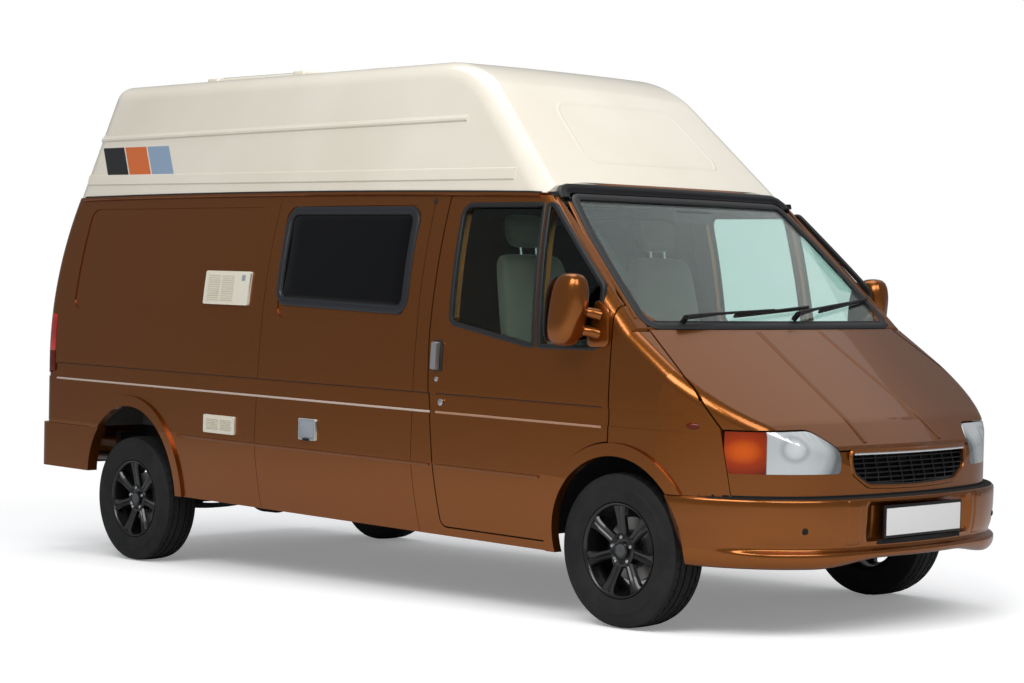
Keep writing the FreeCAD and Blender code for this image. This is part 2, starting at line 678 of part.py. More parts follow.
def camper_windows():
    """Dark panes in a raised frame, one in the right wall and one in the sliding door."""
    shapes = []
    for side in (RIGHT, LEFT):
        raised = body_form(-d.window_proud)
        sunk = raised.cut(body_form(d.press_depth - seat)).common(side_prism(MIDDLE_PRESSING, side, -seat))
        frame = raised.cut(body_form(-seat)).fuse(sunk)
        ring = side_prism(SIDE_WINDOW, side, 16).cut(side_prism(SIDE_WINDOW, side, -22))
        pane = body_form(-1).cut(body_form(d.glass))
        shapes.append(frame.common(ring).fuse(pane.common(side_prism(SIDE_WINDOW, side, -seat))))
    return compound(shapes)


# Floor, rails and bulkhead
def floor_pan():
    """Load floor with the rear wheel boxes."""
    top = d.floor_z + d.floor_thick
    slab = block(-940, 940, -1735, d.rear_y - d.wall - 4, d.floor_z, top).common(INSIDE)
    slab = cut_all(slab, arch_discs(d.front_axle_y, d.steer_room + 14, 515))
    box_high = arch_z + d.arch_radius + 20 + 12
    outer_box = block(590, 940, rear_axle_y - 420, rear_axle_y + 420, d.floor_z, box_high)
    inner_box = block(602, 1000, rear_axle_y - 408, rear_axle_y + 408, 0, box_high - 12)
    for s in (RIGHT, LEFT):
        slab = slab.fuse(on_side(outer_box, s).common(INSIDE))
        slab = slab.cut(on_side(inner_box, s))
    panel = block(-540, 540, 1345, 2440, top - 5, top + d.panel_rise)
    return slab.fuse(panel).removeSplitter()


def bulkhead():
    """Wall behind the engine with the front wheel housings."""
    inside = body_form(d.front_wall + seat).cut(UNDER_WALL.cut(INSIDE))
    plate = block(-900, 900, -1765, -1747, d.floor_z, 1215)
    housings = []
    for s in (-1, 1):
        outer = rod(V(s * 515, d.front_axle_y, arch_z), V(s * 918, d.front_axle_y, arch_z), d.steer_room + 12)
        inner = rod(V(s * 527, d.front_axle_y, arch_z), V(s * 930, d.front_axle_y, arch_z), d.steer_room)
        cup = outer.cut(inner).cut(block(-1200, 1200, -3000, 0, 0, arch_z + 6))
        housings.append(cup)
        plate = plate.cut(outer)
    shape = fuse([plate] + housings)
    return shape.common(body_form(d.wall + seat))


def chassis_rails():
    """Two rails joined by cross-members."""
    bars = [block(s * 420 - 35, s * 420 + 35, -2560, 2500, 470, d.floor_z - seat) for s in (-1, 1)]
    for y in (-2540, -1105, 900, 2440):
        bars.append(block(-420, 420, y - 30, y + 30, 490, 560))
    for s in (-1, 1):
        bars.append(on_side(block(250 + seat, 400, -2140, -2060, 480, 540), s))
    return fuse(bars)


def front_suspension():
    """Cross-member with lower arms reaching to the ball joints."""
    beam = block(-600, 600, d.front_axle_y - 60, d.front_axle_y + 60, 262, 332)
    ends = (d.front_axle_y - 40, d.front_axle_y + 40)
    posts = [block(s * 420 - 30, s * 420 + 30, *ends, 332, 470 - seat) for s in (-1, 1)]
    arms = []
    for s in (-1, 1):
        joint = V(s * d.kingpin_x, d.front_axle_y, 205)
        arms.append(rod(V(s * 560, d.front_axle_y, 275), joint, 12))
        arms.append(Part.makeSphere(30 - seat, joint))
    return fuse([beam] + posts + arms)


# Power train and rear axle
def engine_block():
    return block(-250, 250, -2400, -1800, 372, 850)


def propshaft():
    gearbox = Part.makeCone(100, 80, 640, V(0, -1800 + seat, 440), V(0, 1, 0))
    shaft = rod(V(0, -1162, 440), V(0, rear_axle_y - 172, 253), 34)
    return fuse([gearbox, shaft])


def rear_axle():
    """Axle tube, differential and leaf springs hung from the rails."""
    z = d.tyre_radius
    y = rear_axle_y
    hub_x = d.half_track - 52 - seat
    housing = rod(V(0, y - 95, z), V(0, y + 95, z), 128)
    housing = housing.makeFillet(45, [e for e in housing.Edges if e.BoundBox.YLength < 1])
    parts = [rod(V(-hub_x, y, z), V(hub_x, y, z), 42), housing]
    parts.append(rod(V(0, y - 165, z + 10), V(0, y, z + 10), 60))
    for s in (-1, 1):
        x = s * 560
        arc = Part.Arc(V(x, y - 640, z + 30), V(x, y, z - 66), V(x, y + 640, z + 40)).toShape()
        strip = arc.extrude(V(0, 0, 26)).extrude(V(60, 0, 0))
        strip.translate(V(-30, 0, 0))
        parts.append(strip)
        parts.append(block(x - 38, x + 38, y - 60, y + 60, z - 66, z + 44))
        parts += [rod(V(x - 30, y + e, z + 45), V(x + 30, y + e, z + 45), 24) for e in (-640, 640)]
    return fuse(parts)


def spring_hangers():
    """Side plates beside each spring eye, carried by the rails."""
    parts = []
    for s in (-1, 1):
        for end in (-640, 640):
            y = rear_axle_y + end
            eye_z = d.tyre_radius + 45 - math.sin(math.radians(d.rake_deg)) * (y - d.front_axle_y)
            for x in (530 - seat - 10, 590 + seat):
                parts.append(on_side(block(x, x + 10, y - 22, y + 22, eye_z - 30, 540), s))
            parts.append(on_side(block(400, 600, y - 22, y + 22, 490, 540), s))
    return parts


def exhaust():
    run = [
        V(-300, -1750, 420), V(-300, -1300, 360), V(-300, -100, 360), V(-300, 900, 380), V(-330, 1350, 520),
        V(-330, 1960, 520), V(-330, 2120, 420), V(-640, 2320, 415), V(-640, 2600, 400),
    ]
    silencer = rod(V(-300, -60, 362), V(-300, 560, 376), 88)
    top = d.floor_z - seat
    straps = [block(-306, -294, 240, 262, 440, top), block(-336, -324, 1900, 1922, 530, top)]
    return pipe(run, 24).multiFuse([silencer] + straps)


def fuel_tank():
    tank = block(475, 860, -420, 560, 330, d.floor_z - seat)
    return tank.makeFillet(35, tank.Edges)


# Cab fittings
def cab_seats():
    """Cushion, back and head rest of each front seat."""
    seats = []
    half = d.seat_width / 2
    for s in (-1, 1):
        x = s * d.seat_x
        cushion = block(x - half, x + half, -1290, -780, 905, 1035)
        back = outline([(-860, 1020), (-760, 1010), (-640, 1590), (-740, 1610)], "yz")
        back = prism(back, x - half + 10, x + half - 10)
        head = outline([(-728, 1600), (-648, 1590), (-615, 1770), (-705, 1780)], "yz")
        head = prism(head, x - 130, x + 130)
        seats.append(fuse([cushion, back, head]))
    return compound(seats)


def seat_bases():
    top = d.floor_z + d.floor_thick
    boxes = []
    for s in (-1, 1):
        x = s * d.seat_x
        boxes.append(block(x - 200, x + 200, -1220, -800, top + seat, 905 - seat))
    return compound(boxes)


BULKHEAD_Y = -1747
DASHBOARD = [
    (BULKHEAD_Y + seat, 930, 20), (BULKHEAD_Y + seat, 1190, 20), (-1560, 1232, 60), (-1395, 1190, 40),
    (-1420, 930, 40),
]


def dashboard():
    slab = side_prism(DASHBOARD, LEFT, 0, -900, 900)
    return slab.common(body_form(d.wall + 2))


def steering_wheel():
    """Rim, three spokes and column on the driver's side."""
    centre = V(-d.seat_x, -1262, 1175)
    axis = V(0, 0.55, 0.83).normalize()
    rim = Part.makeTorus(d.steering_wheel_radius - 14, 14, centre, axis)
    hub = rod(centre - axis * 30, centre + axis * 8, 48)
    across = V(1, 0, 0)
    up = axis.cross(across)
    arms = [across, across * -1, up * -1]
    reach = d.steering_wheel_radius - 14
    spokes = [rod(centre, centre + a * reach, 11) for a in arms]
    column = rod(centre - axis * 30, centre - axis * 260, 30)
    wheel = fuse([rim, hub, column] + spokes)
    return wheel.cut(side_prism(DASHBOARD, LEFT, seat, -900, 900))


def camper_units():
    """Kitchen unit on the right and a bench on the left, behind the cab."""
    top = d.floor_z + d.floor_thick + seat
    kitchen = block(-930, -470, -300, 1300, top, 1230)
    bench = block(470, 930, 760, 1330, top, 1080)
    room = body_form(d.wall + 2)
    return compound([b.common(room) for b in (kitchen, bench)])


# Doors' mirrors
def mirror(side):
    """Oval shell on two arms from a triangular foot on the door."""
    shell = outline([(-1645, 1190, 60), (-1473, 1190, 60), (-1483, 1505, 50), (-1615, 1505, 50)], "yz")
    head = prism(shell, 985, 1120)
    arms = [rod(V(945, -1640, z), V(1010, -1590, z), 13) for z in (1250, 1330)]
    foot = body_form(-14).cut(body_form(-seat)).common(
        side_prism([(-1715, 1195, 15), (-1620, 1195, 20), (-1655, 1390, 10), (-1715, 1330, 15)], LEFT)
    )
    head = head.makeFillet(20, [e for e in head.Edges if e.BoundBox.XLength < 1])
    return on_side(fuse([head, foot] + arms).cut(body_form(-seat)), side)


# Wheels
def tyre(x, y):
    """Tyre with rounded shoulders, turned about the wheel axis."""
    half = d.tyre_width / 2
    r = d.tyre_radius
    points = [
        (-half + 12, d.rim_radius, 10), (-half, (r + d.rim_radius) / 2 - 4, 60), (-half + 10, r, 24),
        (half - 10, r, 24), (half, (r + d.rim_radius) / 2 - 4, 60), (half - 12, d.rim_radius, 10),
    ]
    face = Part.Face(outline(points, "xz"))
    ring = face.revolve(V(0, 0, 0), V(1, 0, 0), 360)
    ring.translate(V(x, y, d.tyre_radius))
    return ring


def rim(side, y):
    """Alloy wheel: barrel, spokes, hub and the brake disc behind them."""
    r = d.rim_radius - seat
    half = d.tyre_width / 2
    barrel = Part.makeCylinder(r, d.tyre_width - 16, V(-half + 8, 0, 0), V(1, 0, 0))
    barrel = barrel.cut(Part.makeCylinder(r - 16, d.tyre_width, V(-half, 0, 0), V(1, 0, 0)))
    face_x = half - 40
    parts = [barrel, Part.makeCylinder(62, 30, V(face_x, 0, 0), V(1, 0, 0))]
    for i in range(int(d.spoke_count)):
        spoke = outline([(-26, 40), (26, 40), (17, r - 6), (-17, r - 6)], "xy")
        spoke = Part.Face(spoke).extrude(V(0, 0, 22))
        spoke.rotate(V(0, 0, 0), V(0, 1, 0), 90)
        spoke.translate(V(face_x, 0, 0))
        spoke.rotate(V(0, 0, 0), V(1, 0, 0), i * 360 / d.spoke_count)
        parts.append(spoke)
    parts.append(Part.makeCylinder(50, face_x + 52, V(-52, 0, 0), V(1, 0, 0)))
    parts.append(Part.makeCylinder(d.disc_radius, 24, V(-30, 0, 0), V(1, 0, 0)))
    wheel = on_side(fuse(parts), side)
    wheel.translate(V(side * d.half_track, y, d.tyre_radius))
    return wheel


def knuckle(side):
    """Steering knuckle: upright on the kingpin line, stub axle, strut and steering arm."""
    y = d.front_axle_y
    x = d.kingpin_x
    hub_x = d.half_track - 52 - seat
    upright = rod(V(x, y, 235), V(x, y, 470), 26)
    strut = rod(V(x, y, 470), V(x, y, arch_z + d.steer_room - 12), 21)
    stub = rod(V(x, y, d.tyre_radius), V(hub_x, y, d.tyre_radius), 32)
    arm = block(x - 14, x + 14, y, y + 140, 300, 326)
    return on_side(fuse([upright, strut, stub, arm]), side)


# Put the sub-parts into the document
def make_sub_parts():
    piece("floor_pan", floor_pan())
    piece("bulkhead", bulkhead())
    piece("chassis_rails", fuse([chassis_rails()] + spring_hangers()))
    piece("rear_frame", rear_frame())
    piece("windscreen_frame", windscreen_frame())
    piece("windscreen", windscreen())
    piece("windscreen_trim", windscreen_trim())
    piece("front_panel", front_panel())
    piece("radiator_grille", radiator_grille())
    piece("headlamps", headlamps())
    piece("bonnet", bonnet())
    piece("front_bumper", front_bumper())
    piece("rear_bumper", rear_bumper())
    piece("arch_trims", arch_trims())
    lamps = tail_lamps()
    piece("tail_lamps", lamps)
    piece("high_roof", high_roof())
    piece("rooflights", rooflights())
    piece("service_vents", service_vents())
    piece("camper_windows", camper_windows())
    for name, side in SIDES.items():
        piece("side_wall_" + name, side_wall(side).cut(lamps))
        piece("wing_" + name, wing(side))
        piece("cab_door_" + name, cab_door(side))
        piece("door_glass_" + name, door_glass(side))
        piece("mirror_" + name, mirror(side))
        piece("rear_door_" + name, rear_door(side))
        piece("rear_glass_" + name, rear_window(side))
        piece("knuckle_" + name, knuckle(side), LEVEL)
        for end, y in (("front", d.front_axle_y), ("rear", rear_axle_y)):
            piece("tyre_%s_%s" % (end, name), tyre(side * d.half_track, y), LEVEL)
            piece("rim_%s_%s" % (end, name), rim(side, y), LEVEL)
    door = WALLS.common(side_prism(SLIDING_DOOR, LEFT)).cut(side_prism(SIDE_WINDOW, LEFT))
    door = cut_all(door, [PRESSED.common(side_prism(p, LEFT)) for p in (SWAGE, MIDDLE_PRESSING)])
    piece("sliding_door", door)
    piece("front_suspension", front_suspension())
    piece("rear_axle", rear_axle(), LEVEL)
    piece("engine_block", engine_block())
    piece("propshaft", propshaft())
    piece("exhaust", exhaust())
    piece("fuel_tank", fuel_tank())
    piece("cab_seats", cab_seats())
    piece("seat_bases", seat_bases())
    piece("dashboard", dashboard())
    piece("steering_wheel", steering_wheel())
    piece("camper_units", camper_units())


def write_sub_parts():
    """Check every object, then write one file for each sub-part."""
    doc.recompute()
    for item in doc.Objects:
        if "Invalid" in item.State or "Error" in item.State:
            raise RuntimeError("failed: " + item.Label)
    for item in subparts:
        if item.Shape.isNull() or not item.Shape.isValid() or item.Shape.Volume <= 0:
            raise RuntimeError("bad shape: " + item.Label)
    for item in subparts:
        item.Shape.exportStep("parts/%s.step" % item.Label)


make_sub_parts()
write_sub_parts()
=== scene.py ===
"""Dresses the camper van: paint, glass, seals, lamps, wheels, cab and roof details.

Places on the body are given in its level frame, in metres, and turned by the rake in W().
The front is at -Y and the right side at -X.
"""

import math

import bmesh
import bpy
from mathutils import Matrix, Vector


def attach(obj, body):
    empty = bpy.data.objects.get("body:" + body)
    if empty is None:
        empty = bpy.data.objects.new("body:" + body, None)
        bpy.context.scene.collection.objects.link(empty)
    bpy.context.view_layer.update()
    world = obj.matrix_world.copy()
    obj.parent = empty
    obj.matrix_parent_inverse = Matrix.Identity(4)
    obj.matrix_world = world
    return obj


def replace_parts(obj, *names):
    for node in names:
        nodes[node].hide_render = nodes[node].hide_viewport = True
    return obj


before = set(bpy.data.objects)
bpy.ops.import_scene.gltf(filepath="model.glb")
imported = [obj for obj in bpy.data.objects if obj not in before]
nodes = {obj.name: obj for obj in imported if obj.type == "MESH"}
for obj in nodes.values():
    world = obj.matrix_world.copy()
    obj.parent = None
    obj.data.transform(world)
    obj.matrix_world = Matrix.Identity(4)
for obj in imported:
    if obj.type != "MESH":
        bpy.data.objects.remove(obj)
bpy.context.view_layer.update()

AXLE = Vector((0, -1.778, 0.332))  # Middle of the front axle; the body is raked about it
REAR_Y = 1.792  # Rear axle
TRACK = 0.852  # Half of the distance between the wheels
RAKE = Matrix.Rotation(math.radians(1.5), 4, "X")
SIDES = {"right": -1, "left": 1}
SMOOTH_BELOW = math.radians(35)


def W(p):
    """Point of the level body, turned by the rake."""
    return RAKE @ (Vector(p) - AXLE) + AXLE


def angles(count):
    return [2 * math.pi * k / count for k in range(count)]


def spread(start, end, steps):
    return [start + (end - start) * i / steps for i in range(steps + 1)]


def power(value, exponent):
    """Power that keeps the sign."""
    return math.copysign(abs(value) ** exponent, value)


def soft_step(low, high, value):
    t = min(1.0, max(0.0, (value - low) / (high - low)))
    return t * t * (3 - 2 * t)


# Body surface
SILL_Z, WAIST_Z, LEAN_Z = 0.285, 0.62, 0.95
WAIST = 0.969
SIDE_RADIUS = (0.134 ** 2 + 0.916 ** 2) / (2 * 0.134)
SCREEN_SLOPE = (1.920 - 1.270) / (-1.205 + 1.902)
AXIS_Y = 3.98  # Bonnet and windscreen bend about this upright axis
FRONT_LINE = [(-2.578, 0.800), (-2.45, 0.905), (-1.902, 1.270), (-1.205, 1.920)]
ARC = 2.42  # Plan radius of nose and bumper
NOSE = (-2.619, WAIST, 0.6)  # Front, half width, corner radius
BUMPER = (-2.679, 0.975, 0.615)


def half_width(z):
    """Tucked under at the sill, upright at the waist, leaning in above it."""
    if z <= WAIST_Z:
        return 0.905 + 0.064 * math.sin(math.pi / 2 * max(0.0, (z - SILL_Z) / (WAIST_Z - SILL_Z))) ** 0.9
    if z <= LEAN_Z:
        return WAIST
    return WAIST - (SIDE_RADIUS - math.sqrt(SIDE_RADIUS ** 2 - (z - LEAN_Z) ** 2))


def side_point(side, y, z, lift=0.0):
    return Vector((side * (half_width(z) + lift), y, z))


def side_normal(side, z):
    slope = (half_width(z + 0.005) - half_width(z - 0.005)) / 0.01
    return Vector((side, 0, -slope)).normalized()


def off_side(side):
    """Function that lifts a point (y, z) of the side off the surface."""
    return lambda q, out: side_point(side, q.x, q.y) + side_normal(side, q.y) * out


def front_y(z):
    """Centre-line position of bonnet and windscreen at a height."""
    for (y0, z0), (y1, z1) in zip(FRONT_LINE[:-1], FRONT_LINE[1:]):
        if z <= z1:
            return y0 + (y1 - y0) * (z - z0) / (z1 - z0)
    return y1 + (z - z1) / SCREEN_SLOPE


def front_point(x, z, lift=0.0):
    """Point on the bonnet or windscreen."""
    radius = AXIS_Y - front_y(z)
    p = Vector((x, AXIS_Y - math.sqrt(radius ** 2 - x ** 2), z))
    return p + front_normal(x, z) * lift


def front_normal(x, z):
    slope = (front_y(z + 0.004) - front_y(z - 0.004)) / 0.008
    radius = AXIS_Y - front_y(z)
    return Vector((x / radius, -math.sqrt(1 - (x / radius) ** 2), slope)).normalized()


def plan_y(x, front, half, corner):
    """Plan of the nose or the bumper: a wide arc that turns into round corners."""
    arc_y = front + ARC
    cx = half - corner
    cy = arc_y - math.sqrt((ARC - corner) ** 2 - cx ** 2)
    x = abs(x)
    if x <= cx * ARC / (ARC - corner):
        return arc_y - math.sqrt(ARC ** 2 - x ** 2)
    return cy - math.sqrt(max(corner ** 2 - (x - cx) ** 2, 0))


def nose_y(x):
    return plan_y(x, *NOSE)


def bumper_y(x):
    return plan_y(x, *BUMPER)


def shader(name, slot, color, rough=0.5, metal=0.0, coat=0.0, grain=None, **sockets):
    """Material. The slot is not used. The grain is a fine bump of (scale, strength, distance)."""
    mat = bpy.data.materials.new(name)
    mat.use_nodes = True
    values = {"Base Color": (*color, 1), "Roughness": rough, "Metallic": metal, "Coat Weight": coat,
              "Coat Roughness": 0.03}
    values.update({key.replace("_", " "): value for key, value in sockets.items()})
    for key, value in values.items():
        mat.node_tree.nodes["Principled BSDF"].inputs[key].default_value = value
    mat.diffuse_color = (*color, 1)
    if grain:
        bump(mat, noise(mat, grain[0]), *grain[1:])
    return mat


def noise(mat, scale, detail=2.0, stretch=(1, 1, 1)):
    tree = mat.node_tree
    mapping = tree.nodes.new("ShaderNodeMapping")
    mapping.inputs["Scale"].default_value = stretch
    tex = tree.nodes.new("ShaderNodeTexNoise")
    tex.inputs["Scale"].default_value = scale
    tex.inputs["Detail"].default_value = detail
    tree.links.new(tree.nodes.new("ShaderNodeTexCoord").outputs["Object"], mapping.inputs["Vector"])
    tree.links.new(mapping.outputs["Vector"], tex.inputs["Vector"])
    return tex.outputs["Fac"]


def vary(mat, factor, stops, socket="Base Color"):
    """Colour or value of a socket from a factor, through a ramp."""
    tree = mat.node_tree
    ramp = tree.nodes.new("ShaderNodeValToRGB")
    ramp.color_ramp.elements[0].position = stops[0][0]
    ramp.color_ramp.elements[1].position = stops[-1][0]
    for place, _ in stops[1:-1]:
        ramp.color_ramp.elements.new(place)
    for element, (_, value) in zip(ramp.color_ramp.elements, stops):
        element.color = (*value, 1) if isinstance(value, tuple) else (value, value, value, 1)
    tree.links.new(factor, ramp.inputs["Fac"])
    tree.links.new(ramp.outputs["Color"], tree.nodes["Principled BSDF"].inputs[socket])


def bump(mat, factor, strength, distance):
    tree = mat.node_tree
    node = tree.nodes.new("ShaderNodeBump")
    node.inputs["Strength"].default_value = strength
    node.inputs["Distance"].default_value = distance
    tree.links.new(factor, node.inputs["Height"])
    tree.links.new(node.outputs["Normal"], tree.nodes["Principled BSDF"].inputs["Normal"])


paint = shader("copper_paint", "body_paint", (0.29, 0.087, 0.010), 0.25, 0.88, 0.45)
vary(paint, noise(paint, 900), [(0.3, (0.215, 0.061, 0.005)), (0.7, (0.360, 0.112, 0.015))])
roof_paint = shader("cream_gel_coat", "roof_paint", (0.76, 0.70, 0.59), 0.32, 0.0, 0.6, (60, 0.04, 0.001))
vary(roof_paint, noise(roof_paint, 1.3, 4), [(0.35, (0.74, 0.68, 0.565)), (0.65, (0.79, 0.735, 0.63))])
# Painted highlight: the pale line along the swage's lower edge and its copper-toned fade on the doors stand in for a
# reflection
painted_swage_highlight = shader("swage_highlight_painted", "body_paint", (0.56, 0.44, 0.37), 0.25, 0.0, 0.5, (300, 0.05, 0.0002))
painted_door_highlight = shader("door_swage_highlight_painted", "body_paint", (0.40, 0.22, 0.13), 0.25, 0.0, 0.5, (300, 0.05, 0.0002))
rubber = shader("seal_rubber", "black_plastic", (0.012, 0.012, 0.013), 0.45, grain=(700, 0.15, 0.0003))
black = shader("black_moulding", "black_plastic", (0.009, 0.009, 0.010), 0.38, grain=(900, 0.25, 0.0003),
               Specular_IOR_Level=0.3)
# Painted shade: near-black for the shade inside gaps, slots and holes, behind the grille and under the swage step
dark = shader("painted_shade_dark", "black_plastic", (0.004, 0.004, 0.004), 0.9)
vary(dark, noise(dark, 40, 3), [(0.3, (0.003, 0.003, 0.003)), (0.7, (0.006, 0.006, 0.006))])
gloss_black = shader("smoked_acrylic", "window_black", (0.002, 0.002, 0.0025), 0.08, 0.0, 0.12, Specular_IOR_Level=0.2)
vary(gloss_black, noise(gloss_black, 5, 3), [(0.3, 0.05), (0.7, 0.09)], "Roughness")
ring_grey = shader("window_frame_grey", "window_black", (0.014, 0.016, 0.020), 0.35, grain=(500, 0.2, 0.0003))
glass = shader("cab_glass", "glass", (0.64, 0.80, 0.76), 0.0, 0.0, 1.0, Transmission_Weight=1.0, IOR=1.01)
vary(glass, noise(glass, 0.8), [(0.3, (0.61, 0.775, 0.735)), (0.7, (0.67, 0.825, 0.785))])
side_glass = shader("side_glass", "glass", (0.62, 0.77, 0.73), 0.0, 0.0, 0.2, Transmission_Weight=1.0, IOR=1.01)
vary(side_glass, noise(side_glass, 0.8), [(0.3, (0.60, 0.75, 0.71)), (0.7, (0.64, 0.79, 0.75))])
cream = shader("vent_cream", "vent_plastic", (0.74, 0.70, 0.58), 0.45, grain=(400, 0.1, 0.0003))
grey_lid = shader("hatch_grey", "window_black", (0.28, 0.31, 0.34), 0.4, grain=(500, 0.12, 0.0003))
chrome = shader("bright_trim", "lamp_lens", (0.75, 0.75, 0.76), 0.12, 1.0)
vary(chrome, noise(chrome, 30, 3), [(0.3, 0.08), (0.7, 0.18)], "Roughness")
silver = shader("satin_silver", "black_plastic", (0.55, 0.56, 0.58), 0.3, 0.9)
bump(silver, noise(silver, 600, 2, (1, 1, 0.1)), 0.1, 0.0002)
amber = shader("amber_lens", "tail_lens", (0.30, 0.03, 0.001), 0.22, 0.0, 0.15, Specular_IOR_Level=0.25)
lens = shader("clear_lens", "lamp_lens", (0.48, 0.51, 0.52), 0.10, 0.3, 1.0)
red_lens = shader("red_lens", "tail_lens", (0.5, 0.008, 0.006), 0.1, 0.0, 1.0)
tyre_mat = shader("tyre_rubber", "tyre_rubber", (0.012, 0.012, 0.013), 0.72, grain=(500, 0.3, 0.0004),
                  Specular_IOR_Level=0.35)
vary(tyre_mat, noise(tyre_mat, 9, 4), [(0.35, (0.009, 0.009, 0.010)), (0.7, (0.018, 0.0175, 0.017))])
rim_mat = shader("wheel_black", "wheel_paint", (0.007, 0.007, 0.0075), 0.3, 0.2, 0.5, (400, 0.1, 0.0002))
steel = shader("machined_steel", "raw_steel", (0.34, 0.33, 0.32), 0.4, 0.9, grain=(300, 0.2, 0.0003))
under = shader("chassis_black", "under_paint", (0.013, 0.013, 0.014), 0.6)
bump(under, noise(under, 120, 3), 0.35, 0.001)
pipe_mat = shader("exhaust_steel", "exhaust_metal", (0.16, 0.13, 0.11), 0.5, 0.8)
vary(pipe_mat, noise(pipe_mat, 12, 4), [(0.3, (0.10, 0.07, 0.055)), (0.7, (0.22, 0.19, 0.17))])
cloth = shader("seat_cloth", "seat_cloth", (0.13, 0.11, 0.085), 0.95, grain=(900, 0.6, 0.0006), Sheen_Weight=0.15)
vary(cloth, noise(cloth, 260), [(0.35, (0.10, 0.083, 0.063)), (0.65, (0.165, 0.14, 0.11))])
trim_grey = shader("cab_moulding", "trim_plastic", (0.065, 0.068, 0.072), 0.6, grain=(700, 0.4, 0.0004))
lining = shader("cab_lining", "trim_plastic", (0.13, 0.125, 0.11), 0.9, grain=(600, 0.4, 0.0005))
wood = shader("light_wood", "unit_wood", (0.42, 0.25, 0.12), 0.45, 0.0, 0.3)
vary(wood, noise(wood, 5, 5, (1, 1, 12)), [(0.35, (0.33, 0.19, 0.085)), (0.65, (0.50, 0.31, 0.15))])
floor_mat = shader("floor_covering", "floor_paint", (0.12, 0.115, 0.11), 0.7)
bump(floor_mat, noise(floor_mat, 300, 3), 0.3, 0.0006)
plate_mat = shader("blank_plate", "vent_plastic", (0.80, 0.80, 0.78), 0.35, grain=(300, 0.05, 0.0002))
STRIPES = [shader("stripe_" + tone, "roof_paint", color, 0.3, 0.0, 0.5, (300, 0.05, 0.0002)) for tone, color in (
    ("black", (0.008, 0.008, 0.010)), ("orange", (0.62, 0.135, 0.025)), ("blue", (0.25, 0.345, 0.47)))]


# Lens optics: fine upright ribs, and painted light and dark round the lamp's middle: a painted reflector highlight
# that darkens towards the edge
def calc(tree, operation, *values):
    """Math node; each value is a number or a socket."""
    node = tree.nodes.new("ShaderNodeMath")
    node.operation = operation
    for socket, value in zip(node.inputs, values):
        if isinstance(value, (int, float)):
            socket.default_value = value
        else:
            tree.links.new(value, socket)
    return node.outputs[0]


def ribbed(mat, scale, strength):
    tree = mat.node_tree
    wave = tree.nodes.new("ShaderNodeTexWave")
    wave.bands_direction = "X"
    wave.inputs["Scale"].default_value = scale
    tree.links.new(tree.nodes.new("ShaderNodeTexCoord").outputs["Object"], wave.inputs["Vector"])
    bump(mat, wave.outputs["Fac"], strength, 0.004)
    return wave.outputs["Fac"]


def from_centre(mat, x, z, reach):
    """0 at a lamp's middle, 1 at its reach, the same on both sides."""
    tree = mat.node_tree
    split = tree.nodes.new("ShaderNodeSeparateXYZ")
    tree.links.new(tree.nodes.new("ShaderNodeTexCoord").outputs["Object"], split.inputs[0])
    across = calc(tree, "SUBTRACT", calc(tree, "ABSOLUTE", split.outputs["X"]), x)
    up = calc(tree, "SUBTRACT", split.outputs["Z"], z)
    squares = [calc(tree, "POWER", calc(tree, "ABSOLUTE", value), 2.0) for value in (across, up)]
    return calc(tree, "DIVIDE", calc(tree, "ADD", *squares), reach ** 2)


ribbed(lens, 9, 0.12)
# Headlamp: painted reflection, bright at the middle and darker towards the lens edge
vary(lens, from_centre(lens, 0.665, 0.785, 0.19), [
    (0.00, (0.80, 0.81, 0.82)), (0.03, (0.66, 0.69, 0.70)), (0.06, (0.44, 0.47, 0.48)), (0.12, (0.60, 0.63, 0.64)),
    (0.50, (0.55, 0.58, 0.59)), (0.85, (0.30, 0.32, 0.33)), (1.0, (0.14, 0.15, 0.155))])
ribbed(amber, 45, 0.08)
# Amber: painted glow, bright orange low in the middle and dark red towards the edge
vary(amber, from_centre(amber, 0.830, 0.775, 0.11), [
    (0.0, (0.58, 0.085, 0.002)), (0.25, (0.30, 0.028, 0.001)), (1.0, (0.11, 0.008, 0.0005))])
# Red lens: painted light and shade, lighter on the rib tops and darker between them
vary(red_lens, ribbed(red_lens, 26, 0.3), [(0.2, (0.34, 0.005, 0.004)), (0.8, (0.62, 0.012, 0.008))])


# Mesh helpers
def put(name, mesh, mat, body, smooth=True, sharp=True):
    """Object of a finished mesh with its material, riding on its body."""
    obj = bpy.data.objects.new(name, mesh)
    bpy.context.scene.collection.objects.link(obj)
    mesh.materials.append(mat)
    if smooth:
        mesh.shade_smooth()
        if sharp:
            mesh.set_sharp_from_angle(angle=SMOOTH_BELOW)
    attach(obj, body)
    return obj


def add_object(name, verts, faces, mat, body="van_body", smooth=True):
    mesh = bpy.data.meshes.new(name)
    mesh.from_pydata([tuple(v) for v in verts], [], faces)
    mesh.validate()
    bm = bmesh.new()
    bm.from_mesh(mesh)
    bmesh.ops.recalc_face_normals(bm, faces=bm.faces)
    bm.to_mesh(mesh)
    bm.free()
    return put(name, mesh, mat, body, smooth)


def ring_faces(rings, n, closed=False, seam=True):
    """Quads between rings of n points. Closed joins the last ring to the first; a ring without seam stays open."""
    faces = []
    for k in range(rings if closed else rings - 1):
        a, b = k * n, ((k + 1) % rings) * n
        faces += [(a + j, a + (j + 1) % n, b + (j + 1) % n, b + j) for j in range(n if seam else n - 1)]
    return faces


def capped(rings, n):
    """Quads between rings of n points, with the first and last ring as end faces."""
    return ring_faces(rings, n) + [tuple(range(n)), tuple(reversed(range((rings - 1) * n, rings * n)))]


def directions(points, closed):
    """Direction of a path at each of its points."""
    count = len(points)
    out = []
    for i in range(count):
        before = points[(i - 1) % count] if closed or i > 0 else points[0]
        after = points[(i + 1) % count] if closed or i < count - 1 else points[-1]
        out.append((after - before).normalized())
    return out


